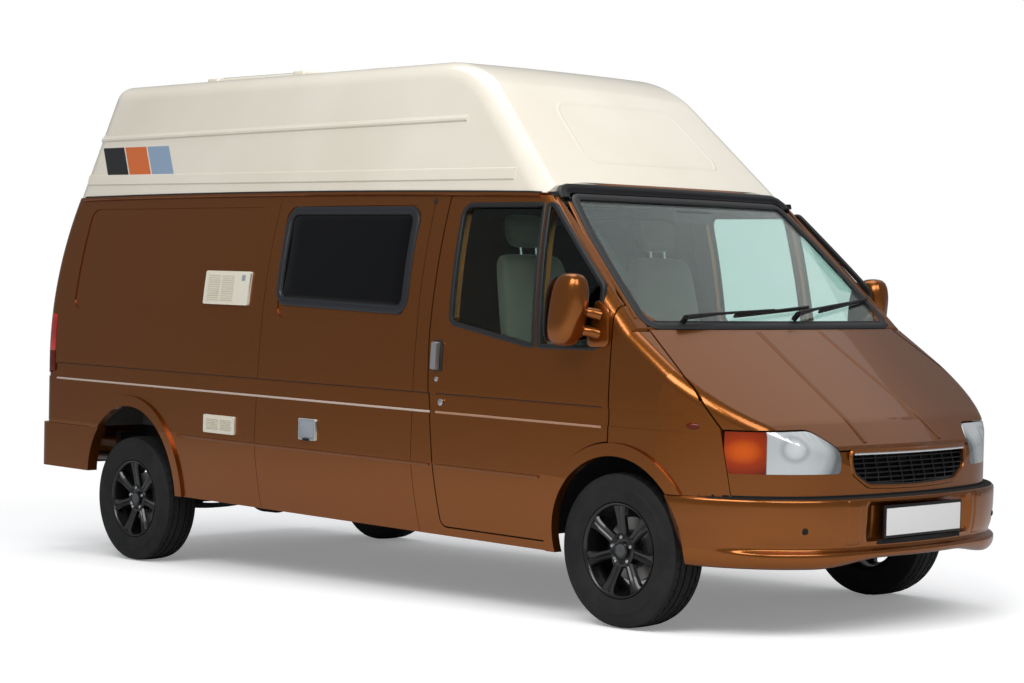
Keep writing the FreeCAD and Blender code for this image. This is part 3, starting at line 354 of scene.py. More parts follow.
def sweep(name, path, normals, section, mat, body="van_body", closed=True):
    """Strip along a path. The section is a list of (across, out of the surface)."""
    verts = []
    for p, along, out in zip(path, directions(path, closed), normals):
        across = along.cross(out).normalized()
        verts += [W(p + across * u + out * v) for u, v in section]
    n = len(section)
    faces = ring_faces(len(path), n, True) if closed else capped(len(path), n)
    return add_object(name, verts, faces, mat, body)


def strip_section(width, height, sunk=0.003):
    """Low rounded strip, lying on the surface."""
    w, edge = width / 2, height * 0.35
    return [(-w, -sunk), (-w, edge), (-w * 0.6, height), (w * 0.6, height), (w, edge), (w, -sunk)]


def ridge(foot, sunk, top, height):
    """Section with a flat top, from its half width at the foot and at the top."""
    return [(-foot, -sunk), (-top, height), (top, height), (foot, -sunk)]


def round_corners(points, steps=6):
    """Polygon of (a, b[, radius]) with its corners rounded, as a dense list."""
    out = []
    count = len(points)
    for i, point in enumerate(points):
        here = Vector(point[:2])
        if len(point) < 3:
            out.append(here)
            continue
        back = (Vector(points[i - 1][:2]) - here).normalized()
        ahead = (Vector(points[(i + 1) % count][:2]) - here).normalized()
        half = back.angle(ahead) / 2
        centre = here + (back + ahead).normalized() * (point[2] / math.sin(half))
        start = here + back * (point[2] / math.tan(half)) - centre
        end = here + ahead * (point[2] / math.tan(half)) - centre
        first = math.atan2(start.y, start.x)
        sweep_by = (math.atan2(end.y, end.x) - first + math.pi) % (2 * math.pi) - math.pi
        for k in range(steps + 1):
            a = first + sweep_by * k / steps
            out.append(centre + Vector((math.cos(a), math.sin(a))) * point[2])
    return out


def dense(points, gap=0.06, closed=True):
    """Extra points on the long runs, so that a strip follows a curved surface."""
    out = []
    count = len(points)
    for i in range(count if closed else count - 1):
        a, b = points[i], points[(i + 1) % count]
        n = max(1, int((b - a).length / gap))
        out += [a.lerp(b, k / n) for k in range(n)]
    return out if closed else out + [points[-1]]


def run(points, closed):
    """Dense run of an outline with rounded corners, or of an open line."""
    return dense(round_corners(points) if closed else [Vector(p[:2]) for p in points], closed=closed)


def side_strip(name, side, points, section, mat, body="van_body", closed=True, lift=0.0):
    flat = run(points, closed)
    return sweep(name, [side_point(side, p.x, p.y, lift) for p in flat], [side_normal(side, p.y) for p in flat],
                 section, mat, body, closed)


def front_strip(name, points, section, mat, closed=True):
    flat = run(points, closed)
    return sweep(name, [front_point(p.x, p.y) for p in flat], [front_normal(p.x, p.y) for p in flat], section, mat,
                 closed=closed)


def layered(name, ring, mid, layers, place, mat, body):
    """Plate from an outline, in layers of (drawn in towards the middle, lifted off the surface)."""
    verts = [W(place(p + (mid - p).normalized() * inward, out)) for inward, out in layers for p in ring]
    return add_object(name, verts, capped(len(layers), len(ring)), mat, body)


def plate_on_side(name, side, y0, y1, z0, z1, lift, thick, mat, radius, body="van_body"):
    """Curved plate on the side with rounded corners and a softened edge."""
    ring = round_corners([(y0, z0, radius), (y1, z0, radius), (y1, z1, radius), (y0, z1, radius)], 5)
    return layered(name, ring, Vector(((y0 + y1) / 2, (z0 + z1) / 2)),
                   [(0.0, lift - 0.003), (0.0, lift + thick * 0.7), (0.0025, lift + thick)], off_side(side), mat, body)


def tube(name, points, radius, mat, body="van_body", closed=False, sides=12):
    """Round bar along points of the level body, with one radius or one for each point."""
    points = [Vector(p) for p in points]
    radii = radius if isinstance(radius, list) else [radius] * len(points)
    verts = []
    for p, along, r in zip(points, directions(points, closed), radii):
        side = along.cross(Vector((0.3, 0.2, 0.93))).normalized()
        up = side.cross(along)
        verts += [W(p + side * (math.cos(a) * r) + up * (math.sin(a) * r)) for a in angles(sides)]
    faces = ring_faces(len(points), sides, True) if closed else capped(len(points), sides)
    return add_object(name, verts, faces, mat, body)


def soft_box(name, size, place, mat, level, segments, profile, sharp=True):
    """Box with softened edges, at a place in the level body."""
    bm = bmesh.new()
    bmesh.ops.create_cube(bm, size=1.0)
    for v in bm.verts:
        v.co = Vector([a * b for a, b in zip(v.co, size)])
    bmesh.ops.bevel(bm, geom=bm.edges[:], offset=level, segments=segments, affect="EDGES", profile=profile)
    for v in bm.verts:
        v.co = W(place @ v.co)
    mesh = bpy.data.meshes.new(name)
    bm.to_mesh(mesh)
    bm.free()
    return put(name, mesh, mat, "van_body", sharp=sharp)


def block(name, low, high, mat, level):
    """Softened box from its lowest and highest corner."""
    low, high = Vector(low), Vector(high)
    return soft_box(name, high - low, Matrix.Translation((low + high) / 2), mat, level, 3, 0.6)


# A material for each CAD piece; # stands for both sides, @ for both axles
for mat, names in (
    (paint, "rear_frame windscreen_frame front_panel bonnet front_bumper rear_bumper arch_trims sliding_door "
            "side_wall_# wing_# cab_door_# rear_door_# mirror_#"),
    (glass, "windscreen"), (side_glass, "door_glass_# rear_glass_#"), (roof_paint, "high_roof"),
    (cream, "rooflights service_vents"), (black, "windscreen_trim radiator_grille fuel_tank steering_wheel"),
    (under, "bulkhead chassis_rails front_suspension rear_axle seat_bases"),
    (steel, "engine_block propshaft knuckle_#"), (pipe_mat, "exhaust"), (floor_mat, "floor_pan"),
    (trim_grey, "dashboard"), (wood, "camper_units"), (red_lens, "tail_lamps"), (lens, "headlamps"),
    (gloss_black, "camper_windows"), (cloth, "cab_seats"), (tyre_mat, "tyre_@_#"), (rim_mat, "rim_@_#"),
):
    for name in names.split():
        for full in {name.replace("#", s).replace("@", e) for s in SIDES for e in ("front", "rear")}:
            nodes[full].data.materials.clear()
            nodes[full].data.materials.append(mat)

# Window seals of the cab doors
WINDOW_BACK = [(-0.686, 1.800, .05), (-0.712, 1.268, .04), (-1.236, 1.184, .06), (-1.255, 1.184), (-1.198, 1.800)]
QUARTER = [(-1.236, 1.800, .006), (-1.293, 1.184, .006), (-1.650, 1.190, .03), (-1.640, 1.448, .03),
           (-1.262, 1.800, .03)]
CAMPER_WINDOW = [(0.577, 1.782, .06), (0.567, 1.328, .06), (-0.385, 1.306, .06), (-0.375, 1.782, .06)]


def moved(points, by):
    """Outline moved outwards from its middle by a distance."""
    corners = [Vector(p[:2]) for p in points]
    middle = sum(corners, Vector((0, 0))) / len(corners)
    out = []
    for i, p in enumerate(points):
        here = corners[i]
        a = (here - corners[i - 1]).normalized()
        b = (corners[(i + 1) % len(corners)] - here).normalized()
        normal = (Vector((a.y, -a.x)) + Vector((b.y, -b.x))).normalized()
        if (here - middle).dot(normal) < 0:
            normal = -normal
        q = here + normal * (by / max(0.3, math.cos(a.angle(b) / 2)))
        out.append((q.x, q.y) + ((max(p[2] + by, 0.003),) if len(p) > 2 else ()))
    return out


for s, side in SIDES.items():
    for name, outline in (("seal_door_glass_", WINDOW_BACK), ("seal_quarter_glass_", QUARTER)):
        side_strip(name + s, side, moved(outline, 0.004), strip_section(0.022, 0.004, 0.016), rubber,
                   f"cab_door_{s}_body")

# Seals behind the door gaps
DOOR_EDGE = [(-1.240, 1.8495), (-0.5805, 1.8495), (-0.5755, 1.206), (-0.5845, 0.950), (-0.6215, 0.620),
             (-0.6565, 0.3265), (-1.330, 0.3265)]
SLIDING_EDGE = [(0.6515, 1.206), (0.6755, 0.620), (0.6715, 0.3265), (-0.4735, 0.3265), (-0.4655, 0.620),
                (-0.4635, 1.206)]
for name, side, edge in (("door_seal_right", -1, DOOR_EDGE), ("door_seal_left", 1, DOOR_EDGE),
                         ("sliding_door_sill", 1, SLIDING_EDGE)):
    side_strip(name, side, edge, ridge(0.012, 0.004, 0.012, 0.004), rubber, closed=False, lift=-0.028)
side_strip("sliding_door_seal", 1, [(-0.62, 1.8200), (1.10, 1.8200)], ridge(0.025, 0.002, 0.025, 0.002), rubber,
           closed=False, lift=-0.0535)

# Camper windows: dark pane, inner black edge and grey frame
for s, side in SIDES.items():
    ring = side_strip("camper_window_frame_" + s, side, moved(CAMPER_WINDOW, 0.0), [
        (-0.020, -0.004), (-0.020, 0.003), (-0.014, 0.0085), (0.006, 0.0085), (0.016, 0.004), (0.019, -0.004),
    ], ring_grey)
    inner = side_strip("camper_window_lip_" + s, side, moved(CAMPER_WINDOW, -0.021),
                       strip_section(0.010, 0.005, 0.004), rubber)
    outline = round_corners(moved(CAMPER_WINDOW, -0.018), 8)
    centre = sum(outline, Vector((0, 0))) / len(outline)
    lifted = off_side(side)
    levels = [1.0, 0.97, 0.8, 0.5, 0.2]
    verts = [W(lifted(centre + (p - centre) * level, 0.001 if k else -0.004))
             for k, level in enumerate(levels) for p in outline]
    verts.append(W(lifted(centre, 0.001)))
    n, last = len(outline), len(levels) - 1
    faces = ring_faces(len(levels), n) + [(last * n + i, last * n + (i + 1) % n, len(verts) - 1) for i in range(n)]
    pane = add_object("camper_window_pane_" + s, verts, faces, gloss_black)
    for piece in (ring, inner, pane):
        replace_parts(piece, "camper_windows")

# Windscreen seal and wipers
SCREEN_SEAL = [(-0.700, 1.843, .05), (-0.722, 1.815), (-0.772, 1.672), (-0.806, 1.508), (-0.834, 1.345),
               (-0.846, 1.286, .05), (0.846, 1.286, .05), (0.834, 1.345), (0.806, 1.508), (0.772, 1.672),
               (0.722, 1.815), (0.700, 1.843, .05)]
front_strip("windscreen_seal", SCREEN_SEAL, strip_section(0.040, 0.006, 0.010), rubber)


def wiper(name, pivot, tip, reach, shift):
    """Arm from a pivot on the cowl to a blade lying on the glass."""
    foot = front_point(*pivot, 0.020)
    top = front_point(*pivot, 0.034)
    end = front_point(*tip, 0.024)
    knee = foot.lerp(end, 0.32) + front_normal(*pivot) * 0.014
    tube(name + "_spindle", [foot - front_normal(*pivot) * 0.025, top], 0.013, black)
    tube(name + "_arm", [top, top.lerp(knee, 0.5), knee, knee.lerp(end, 0.6), end],
         [0.0105, 0.010, 0.007, 0.005, 0.0035], black, sides=8)
    slope = (tip[1] - pivot[1]) / (tip[0] - pivot[0])
    line = [(x, pivot[1] + slope * (x - pivot[0]))
            for x in spread(tip[0] - reach * shift, tip[0] + reach * (1 - shift), 14)]
    sweep(name + "_blade", [front_point(x, z, 0.004) for x, z in line], [front_normal(x, z) for x, z in line],
          [(-0.004, -0.003), (-0.006, 0.010), (-0.003, 0.017), (0.003, 0.017), (0.006, 0.010), (0.004, -0.003)],
          rubber, closed=False)


wiper("wiper_right", (-0.632, 1.300), (-0.02, 1.342), 0.56, 0.5)
wiper("wiper_left", (0.109, 1.318), (0.60, 1.376), 0.50, 0.55)

# Number plates, left blank, the front one in its black frame
plate_y = bumper_y(0) + 0.012
block("number_plate_frame", (-0.272, plate_y, 0.428), (0.272, plate_y + 0.012, 0.566), black, 0.004)
block("number_plate_blank", (-0.260, plate_y - 0.004, 0.440), (0.260, plate_y + 0.008, 0.553), plate_mat, 0.0015)
block("number_plate_rear", (-0.26, 2.6780, 0.430), (0.26, 2.6804, 0.545), plate_mat, 0.001)

# Raised lip round the grille
MOUTH = [(-0.403, 0.772, .01), (-0.396, 0.700, .05), (-0.305, 0.641, .07), (-0.15, 0.635), (0, 0.633), (0.15, 0.635),
         (0.305, 0.641, .07), (0.396, 0.700, .05), (0.403, 0.772, .01), (0.395, 0.790, .008), (-0.395, 0.790, .008)]
flat = dense(round_corners(MOUTH), 0.04)
sweep("grille_lip", [Vector((p.x, nose_y(p.x), p.y)) for p in flat],
      [Vector((p.x, -2.4, 0)).normalized() for p in flat], ridge(0.010, 0.003, 0.004, 0.004), paint)

# Chrome strip over the grille, and a dark backing behind it as painted shade in the grille's depth
path = [Vector((x, nose_y(x) + 0.004, 0.7815)) for x in spread(-0.385, 0.385, 28)]
sweep("grille_chrome", path, [Vector((p.x / ARC, -1, 0)).normalized() for p in path],
      [(-0.006, -0.004), (-0.006, 0.004), (0, 0.007), (0.006, 0.004), (0.006, -0.004)], chrome, closed=False)
verts = [W((x, nose_y(x) + 0.045, z)) for z in (0.640, 0.785) for x in spread(-0.41, 0.41, 28)]
add_object("grille_backing", verts, ring_faces(2, 29, seam=False), dark)


# Door furniture
def door_handle(name, side, y, z, body):
    """Black recess with an upright silver lever and a round lock under it."""
    for part, half, back, low, high, lift, thick, mat, radius, slot in (
        ("_recess", 0.034, 0.030, -0.072, 0.072, 0.0, 0.004, rubber, 0.014, None),
        ("_lever", 0.018, 0.018, -0.064, 0.064, 0.008, 0.020, silver, 0.008, "lamp_lens"),
        ("_keyhole", 0.011, 0.011, -0.118, -0.096, 0.0, 0.005, silver, 0.0105, None),
    ):
        plate_on_side(name + part, side, y - half, y + back, z + low, z + high, lift, thick, mat, radius, body)


def round_cap(name, side, y, z, radius, mat, body="van_body", out=0.005):
    plate_on_side(name, side, y - radius, y + radius, z - radius, z + radius, 0.0, out, mat, radius * 0.97, body)


for s, side in SIDES.items():
    door_handle("handle_" + s, side, -0.640, 1.110, f"cab_door_{s}_body")
    round_cap("door_lock_" + s, side, -0.672, 0.899, 0.016, silver, f"cab_door_{s}_body")
round_cap("filler_plug", -1, -0.478, 1.822, 0.011, rubber, out=0.004)
door_handle("sliding_handle", 1, -0.380, 1.110, "van_body")

# Side lines: a low rub line, and the swage with a painted highlight along its lower edge, pale at the rear and copper
# on the doors, and a thin dark line of painted shade above it
LOW_LINE_Z, SWAGE_LOW_Z, SWAGE_HIGH_Z = 0.6105, 0.8520, 0.9375
RUB_LINE = [(-0.012, -0.002), (-0.002, 0.0055), (0.003, 0.0055), (0.007, -0.002)]
for s, side in SIDES.items():
    for part, y0, y1, body in (("front_" + s, -1.318, -0.640, f"cab_door_{s}_body"),
                               ("rear_" + s, -0.600, 1.365, "van_body")):
        if part != "rear_left":
            side_strip("low_line_" + part, side, [(y0, LOW_LINE_Z), (y1, LOW_LINE_Z)], RUB_LINE, paint, body, False)
for s, side in SIDES.items():
    for part, y0, y1, mat, body in (("front_" + s, -1.690, -0.640, painted_door_highlight, f"cab_door_{s}_body"),
                                    ("rear_" + s, -0.600, 2.500, painted_swage_highlight, "van_body")):
        side_strip("swage_low_" + part, side, [(y0, SWAGE_LOW_Z), (y1, SWAGE_LOW_Z)], strip_section(0.011, 0.0035),
                   mat, body, False)
        side_strip("swage_high_" + part, side, [(y0, SWAGE_HIGH_Z), (y1, SWAGE_HIGH_Z)],
                   strip_section(0.004, 0.0012), dark, body, False)


# Gutter rail under the roof, from the screen pillar to the rear corner
def gutter_z(y):
    droop = 0.9 * min(0.0, y + 1.12) ** 2
    return 1.872 - 0.024 * 3 * ((y - 0.55) / 3.95) ** 2 - droop


for s, side in SIDES.items():
    ys = spread(-1.165, 2.44, 44)
    normals = [side_normal(side, 1.86)] * len(ys)
    sweep("gutter_rail_" + s, [side_point(side, y, gutter_z(y) - 0.010) for y in ys], normals,
          [(-0.009, -0.004), (-0.011, 0.010), (-0.008, 0.015), (0.004, 0.013), (0.007, 0.006), (0.009, -0.004)],
          paint, closed=False)
    sweep("gutter_sealant_" + s, [side_point(side, y, gutter_z(y) + 0.001, 0.002) for y in ys], normals,
          strip_section(0.010, 0.004), rubber, closed=False)

# High roof: its leaning side, stripes and mouldings
ROOF_FOOT, ROOF_LEAN = 0.8413, (0.8413 - 0.684) / (2.501 - 1.840)


def roof_normal(side):
    return Vector((side, 0, ROOF_LEAN)).normalized()


def roof_point(side, y, z, lift=0.0):
    return Vector((side * (ROOF_FOOT - (z - 1.840) * ROOF_LEAN), y, z)) + roof_normal(side) * lift


STRIPE_TOP, STRIPE_LOW, STRIPE_SLANT, STRIPE_GAP = 2.132, 1.965, 0.110, 0.012
STRIPE_WIDTH = (2.375 - 1.758 - 2 * STRIPE_GAP) / 3
for s, side in SIDES.items():
    for i, mat in enumerate(STRIPES):
        back = 2.375 - i * (STRIPE_WIDTH + STRIPE_GAP)
        corners = [(back, STRIPE_TOP), (back - STRIPE_WIDTH, STRIPE_TOP),
                   (back - STRIPE_WIDTH - STRIPE_SLANT, STRIPE_LOW), (back - STRIPE_SLANT, STRIPE_LOW)]
        verts = [W(roof_point(side, y, z, lift)) for lift in (-0.001, 0.0009) for y, z in corners]
        add_object(f"{mat.name}_{s}", verts, capped(2, 4), mat, smooth=False)
    normals = [roof_normal(side)] * 41
    sweep("roof_ledge_" + s, [roof_point(side, y, 2.178 + (2.44 - y) * 0.010) for y in spread(2.40, -0.58, 40)],
          normals, [(-0.030, -0.004), (-0.012, 0.004), (-0.002, 0.010), (0.008, 0.008), (0.016, -0.003)], roof_paint,
          closed=False)
    sweep("roof_flange_" + s, [roof_point(side, y, 1.925 + (y + 1) * 0.002) for y in spread(2.45, -0.97, 40)],
          normals, [(-0.055, -0.003), (-0.045, 0.0055), (0.004, 0.0055), (0.012, -0.003)], roof_paint, closed=False)

# Recessed panel on the roof front, drawn by its raised edge
ROOF_FRONT = [(-0.46, 2.015, .05), (-0.40, 2.300, .09), (0.40, 2.300, .09), (0.46, 2.015, .05)]
front_strip("roof_front_edge", ROOF_FRONT, ridge(0.020, 0.003, 0.004, 0.002), roof_paint)

# Rooflight brackets and lids
for i, (y, top) in enumerate(((1.20, 2.5420), (1.96, 2.5330))):
    block("rooflight_bracket_%d" % i, (-0.345, y - 0.05, 2.465), (0.345, y + 0.05, top), roof_paint, 0.018)
block("rooflight_lid", (-0.315, 1.255, 2.505), (0.315, 1.905, 2.5362), ring_grey, 0.008)
block("front_hatch_lid", (-0.315, 0.01, 2.492), (0.315, 0.66, 2.531), roof_paint, 0.018)


# Vents and service hatch on the right side
def vent(name, y0, y1, z0, z1, rows, blank=0.0):
    """Plate with two columns of slots, each under its louvre, behind a blank field; the slots are dark strips of
    painted shade.
    """
    lift, gap, margin = 0.004, 0.014, 0.020
    plate_on_side(name + "_plate", -1, y0, y1, z0, z1, lift, 0.007, cream, 0.007)
    wide = (y1 - y0 - 0.036 - blank) / 2 - gap
    pitch = (z1 - z0 - 0.034) / rows
    h = pitch * 0.36
    for c in range(2):
        ya = y0 + margin + blank + c * (wide + gap)
        for r in range(rows):
            z = z0 + margin + pitch * (r + 0.5)
            across = [side_point(-1, y, z, lift + 0.0065) for y in spread(ya, ya + wide, 4)]
            for part, section, mat in (
                ("slot", [(-h, 0), (-h, 0.0012), (h, 0.0012), (h, 0)], dark),
                ("louvre", [(-h * 1.2, 0.0), (-h * 1.1, 0.0045), (-h * 0.1, 0.0058), (h * 0.1, 0.0008)], cream),
            ):
                sweep("%s_%s_%d_%d" % (name, part, c, r), across, [side_normal(-1, z)] * 5, section, mat,
                      closed=False)


vent("fridge_vent", 0.801, 1.170, 1.300, 1.469, 12, 0.10)
vent("heater_vent", 0.862, 1.121, 0.643, 0.735, 7)
plate_on_side("fridge_vent_label", -1, 0.835, 0.868, 1.420, 1.452, 0.011, 0.001, grey_lid, 0.002)
plate_on_side("hatch_frame", -1, 0.214, 0.343, 0.659, 0.763, 0.004, 0.009, grey_lid, 0.010)
plate_on_side("hatch_lid", -1, 0.226, 0.331, 0.671, 0.751, 0.012, 0.004, grey_lid, 0.008)
block("hatch_catch", (-0.992, 0.258, 0.656), (-0.975, 0.300, 0.668), black, 0.003)


# Mirrors: rounded shells on two arms and a triangular foot, in place of the plain solids
def mirror(s, side):
    body = f"cab_door_{s}_body"
    cx, cy, cz = 1.0508, -1.556, 1.348
    half_w, half_h = 0.067, 0.156
    rings, steps = 14, 32
    outline = [(power(math.cos(a), 0.62), power(math.sin(a), 0.66), math.sin(a)) for a in angles(steps)]
    verts = []
    for v in spread(-1, 1, rings):
        round_off = max((1 - abs(v) ** 3.2) ** 0.42 if abs(v) < 1 else 0.0, 0.02)
        for u, w, _ in outline:
            px, pz = u * half_w * round_off, w * half_h * round_off
            taper = 1 - 0.10 * (pz / half_h) * (1 if px > 0 else 0.3)
            verts.append(W((side * (cx + px * taper), cy + 0.086 * v - 0.02 * (pz / half_h), cz + pz)))
    rim = [(side * (cx + u * 0.054), cy + 0.081 - 0.02 * sine, cz + w * 0.136) for u, w, sine in outline]
    pieces = [
        add_object("mirror_shell_" + s, verts, capped(rings + 1, steps), paint, body),
        add_object("mirror_glass_" + s, [W(p) for p in rim] + [W((side * cx, cy + 0.082, cz))],
                   [(k, (k + 1) % steps, steps) for k in range(steps)], chrome, body),
        tube("mirror_edge_" + s, rim, 0.006, black, body, True, sides=8),
    ]
    for i, z in enumerate((1.255, 1.335)):
        pieces.append(tube("mirror_arm_%s_%d" % (s, i), [
            (side * 0.950, -1.650, z - 0.01), (side * 0.980, -1.630, z), (side * 1.005, -1.595, z + 0.005),
            (side * 1.015, -1.560, z + 0.008)], [0.026, 0.024, 0.022, 0.021], paint, body))
    foot = round_corners([(-1.722, 1.196, .030), (-1.585, 1.188, .03), (-1.622, 1.400, .02), (-1.704, 1.352, .03)], 5)
    pieces.append(layered("mirror_foot_" + s, foot, sum(foot, Vector((0, 0))) / len(foot),
                          ((0, -0.002), (0, 0.010), (0.006, 0.0135)),
                          lambda q, out: side_point(side, q.x, q.y, out), paint, body))
    for piece in pieces:
        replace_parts(piece, "mirror_" + s)


for s, side in SIDES.items():
    mirror(s, side)


# Lamps: pieces of the CAD lamps, each with its own lens
def loose_parts(node):
    """Polygons of each connected part of a CAD node, from the top down and from right to left."""
    bm = bmesh.new()
    bm.from_mesh(nodes[node].data)
    bmesh.ops.remove_doubles(bm, verts=bm.verts, dist=0.00002)
    left_over = dict.fromkeys(bm.faces)  # Keeps the order of the faces, so that every run is the same
    groups = []
    while left_over:
        start = next(iter(left_over))
        del left_over[start]
        group, queue = [start], [start]
        while queue:
            for edge in queue.pop().edges:
                for other in edge.link_faces:
                    if other in left_over:
                        del left_over[other]
                        group.append(other)
                        queue.append(other)
        groups.append([[tuple(v.co) for v in f.verts] for f in group])
    bm.free()

    def place(group):
        corners = [co for polygon in group for co in polygon]
        return -round(max(co[2] for co in corners), 2), min(co[0] for co in corners)

    return sorted(groups, key=place)


def from_polygons(name, polygons, mat, node):
    """Object of loose polygons, joined at their corners, in place of a node."""
    index, verts, faces = {}, [], []
    for polygon in polygons:
        face = []
        for co in polygon:
            key = tuple(round(c, 6) for c in co)
            if key not in index:
                index[key] = len(verts)
                verts.append(co)
            face.append(index[key])
        if len(set(face)) > 2:
            faces.append(face)
    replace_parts(add_object(name, verts, faces, mat), node)


for i, polygons in enumerate(loose_parts("headlamps")):
    clear = min(abs(co[0]) for polygon in polygons for co in polygon) < 0.6
    from_polygons("headlamp_%d" % i, polygons, lens if clear else amber, "headlamps")
RED_ABOVE = 1.118
for i, polygons in enumerate(loose_parts("tail_lamps")):
    low = [p for p in polygons if sum(co[2] for co in p) / len(p) < RED_ABOVE]
    high = [p for p in polygons if p not in low]
    for tone, part, mat in (("red", high, red_lens), ("amber", low, amber)):
        if part:
            from_polygons("tail_lamp_%s_%d" % (tone, i), part, mat, "tail_lamps")

# Wheels, as profiles of (outwards, radius)
SIDEWALL = [(0.078, 0.2035), (0.090, 0.208), (0.0965, 0.226), (0.0985, 0.250), (0.0990, 0.270), (0.0965, 0.2735),
            (0.0960, 0.290), (0.0930, 0.306), (0.0890, 0.3175)]
TREAD = [(0.0850, 0.3250), (0.0650, 0.3300), (0.0580, 0.3302), (0.0575, 0.3222), (0.0500, 0.3222),
         (0.0495, 0.3306), (0.0260, 0.3316), (0.0255, 0.3232), (0.0175, 0.3232), (0.0170, 0.3318)]
LIP = [(-0.088, 0.2025), (-0.092, 0.196), (-0.080, 0.190), (-0.020, 0.178), (0.050, 0.186), (0.076, 0.190),
       (0.084, 0.193), (0.088, 0.198), (0.090, 0.2025), (0.084, 0.2027), (-0.086, 0.2027), (-0.088, 0.2025)]
HUB = [(0.020, 0.0), (0.020, 0.078), (0.052, 0.078), (0.066, 0.070), (0.070, 0.060), (0.060, 0.052), (0.058, 0.036),
       (0.070, 0.034), (0.074, 0.028), (0.075, 0.0)]
CAP = [(0.0745, 0.0), (0.0775, 0.012), (0.077, 0.025), (0.0735, 0.028)]
DISC = [(-0.030, 0.050), (-0.030, 0.138), (-0.006, 0.138), (-0.006, 0.085), (0.012, 0.080), (0.012, 0.0)]
HUB_BACK = [(-0.052, 0.0), (-0.052, 0.05), (-0.030, 0.05)]
NUT = [(0.050, 0.0095), (0.068, 0.0095), (0.072, 0.007), (0.073, 0.0)]
# Spoke stations: radius, half width, place of the face, depth
SPOKE = [(0.050, 0.023, 0.062, 0.028), (0.085, 0.021, 0.066, 0.026), (0.130, 0.022, 0.072, 0.026),
         (0.165, 0.026, 0.078, 0.030), (0.190, 0.036, 0.080, 0.040)]
SPOKES, NUTS = 7, 5


def tyre(tag, side, y, body):
    """Sidewalls with a raised bead line and a grooved tread."""
    half = SIDEWALL + TREAD
    full = half + [(-x, r) for x, r in reversed(half)]
    steps = 168
    verts = []
    for k, a in enumerate(angles(steps)):
        notch = k % 4 == 0
        for j, (x, r) in enumerate(full):
            rr, aa = r, a
            if len(SIDEWALL) <= j < len(full) - len(SIDEWALL):
                aa += 0.012 * math.sin(x * 60)
                if notch and abs(x) > 0.026 and r > 0.327:
                    rr = r - 0.0062
            elif 0.300 < r < 0.320 and notch:
                rr = r - 0.004
            verts.append((side * TRACK + x, y + rr * math.cos(aa), AXLE.z + rr * math.sin(aa)))
    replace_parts(add_object("tyre_tread_" + tag, verts, ring_faces(steps, len(full), True), tyre_mat, body),
                "tyre_" + tag)


def alloy(tag, side, y, body):
    """Wheel in place of a plain rim: lip, hub, blank cap, twin-edged spokes, nuts and the disc behind."""
    def add(name, verts, faces, mat):
        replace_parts(add_object(name, verts, faces, mat, body), "rim_" + tag)

    def turned(name, profile, steps, mat):
        verts = [(side * (TRACK + x), y + r * math.cos(a), AXLE.z + r * math.sin(a))
                 for a in angles(steps) for x, r in profile]
        add(name + tag, verts, ring_faces(steps, len(profile), True, seam=False), mat)

    turned("wheel_lip_", LIP, 96, rim_mat)
    turned("wheel_hub_", HUB, 56, rim_mat)
    turned("wheel_cap_", CAP, 36, trim_grey)
    for i in range(SPOKES):
        turn = 2 * math.pi * (i + 0.5) / SPOKES + 0.18
        verts = []
        for r, half_w, face_x, deep in SPOKE:
            for part, x in ((-1, -deep), (-1, -0.008), (-0.72, 0), (-0.28, -0.001), (0, -0.007), (0.28, -0.001),
                            (0.72, 0), (1, -0.008), (1, -deep)):
                u = half_w * part
                verts.append((side * (TRACK + face_x + x), y + r * math.cos(turn) - u * math.sin(turn),
                              AXLE.z + r * math.sin(turn) + u * math.cos(turn)))
        add("wheel_spoke_%s_%d" % (tag, i), verts, capped(len(SPOKE), 9), rim_mat)
    for i in range(NUTS):
        a = 2 * math.pi * i / NUTS + 0.3
        cy, cz = y + 0.056 * math.cos(a), AXLE.z + 0.056 * math.sin(a)
        verts = [(side * (TRACK + x), cy + r * math.cos(b), cz + r * math.sin(b)) for x, r in NUT for b in angles(6)]
        add("wheel_nut_%s_%d" % (tag, i), verts, ring_faces(len(NUT), 6), silver)
    turned("brake_disc_", DISC, 56, steel)
    turned("hub_back_", HUB_BACK, 32, steel)


for s, side in SIDES.items():
    for e, y in (("front", AXLE.y), ("rear", REAR_Y)):
        for wheel_part in (tyre, alloy):
            wheel_part(f"{e}_{s}", side, y, f"wheel_{e}_{s}")


# Cab seats: cushions with sewn channels, head rests on two stems
def cushion(name, outline_at, count, crown):
    """Soft form through stations along its length; each ring pulls in between its corners."""
    steps = 28
    verts = []
    for t in [i / (count - 1) for i in range(count)]:
        centre, half_w, half_t, tilt = outline_at(t)
        for a in angles(steps):
            u = power(math.cos(a), 0.42) * half_w
            v = power(math.sin(a), 0.55) * half_t
            if v > 0:
                v += crown * max(0.0, math.cos(u / half_w * math.pi / 2)) * math.sin(math.pi * min(max(t, 0.05), 0.95))
                v -= math.exp(-((abs(u) - half_w * 0.62) / 0.010) ** 2) * 0.010
            verts.append(W(centre + Vector((u, 0, 0)) + tilt @ Vector((0, 0, v))))
    obj = add_object(name, verts, capped(count, steps), cloth)
    sub = obj.modifiers.new("smooth", "SUBSURF")
    sub.levels = sub.render_levels = 1
    return obj


def eased(t, ends=0.10):
    """Full size in the middle, drawn in towards both ends."""
    edge = min(t, 1 - t) / ends
    return 1.0 if edge >= 1 else 0.25 + 0.75 * math.sin(math.pi / 2 * edge)


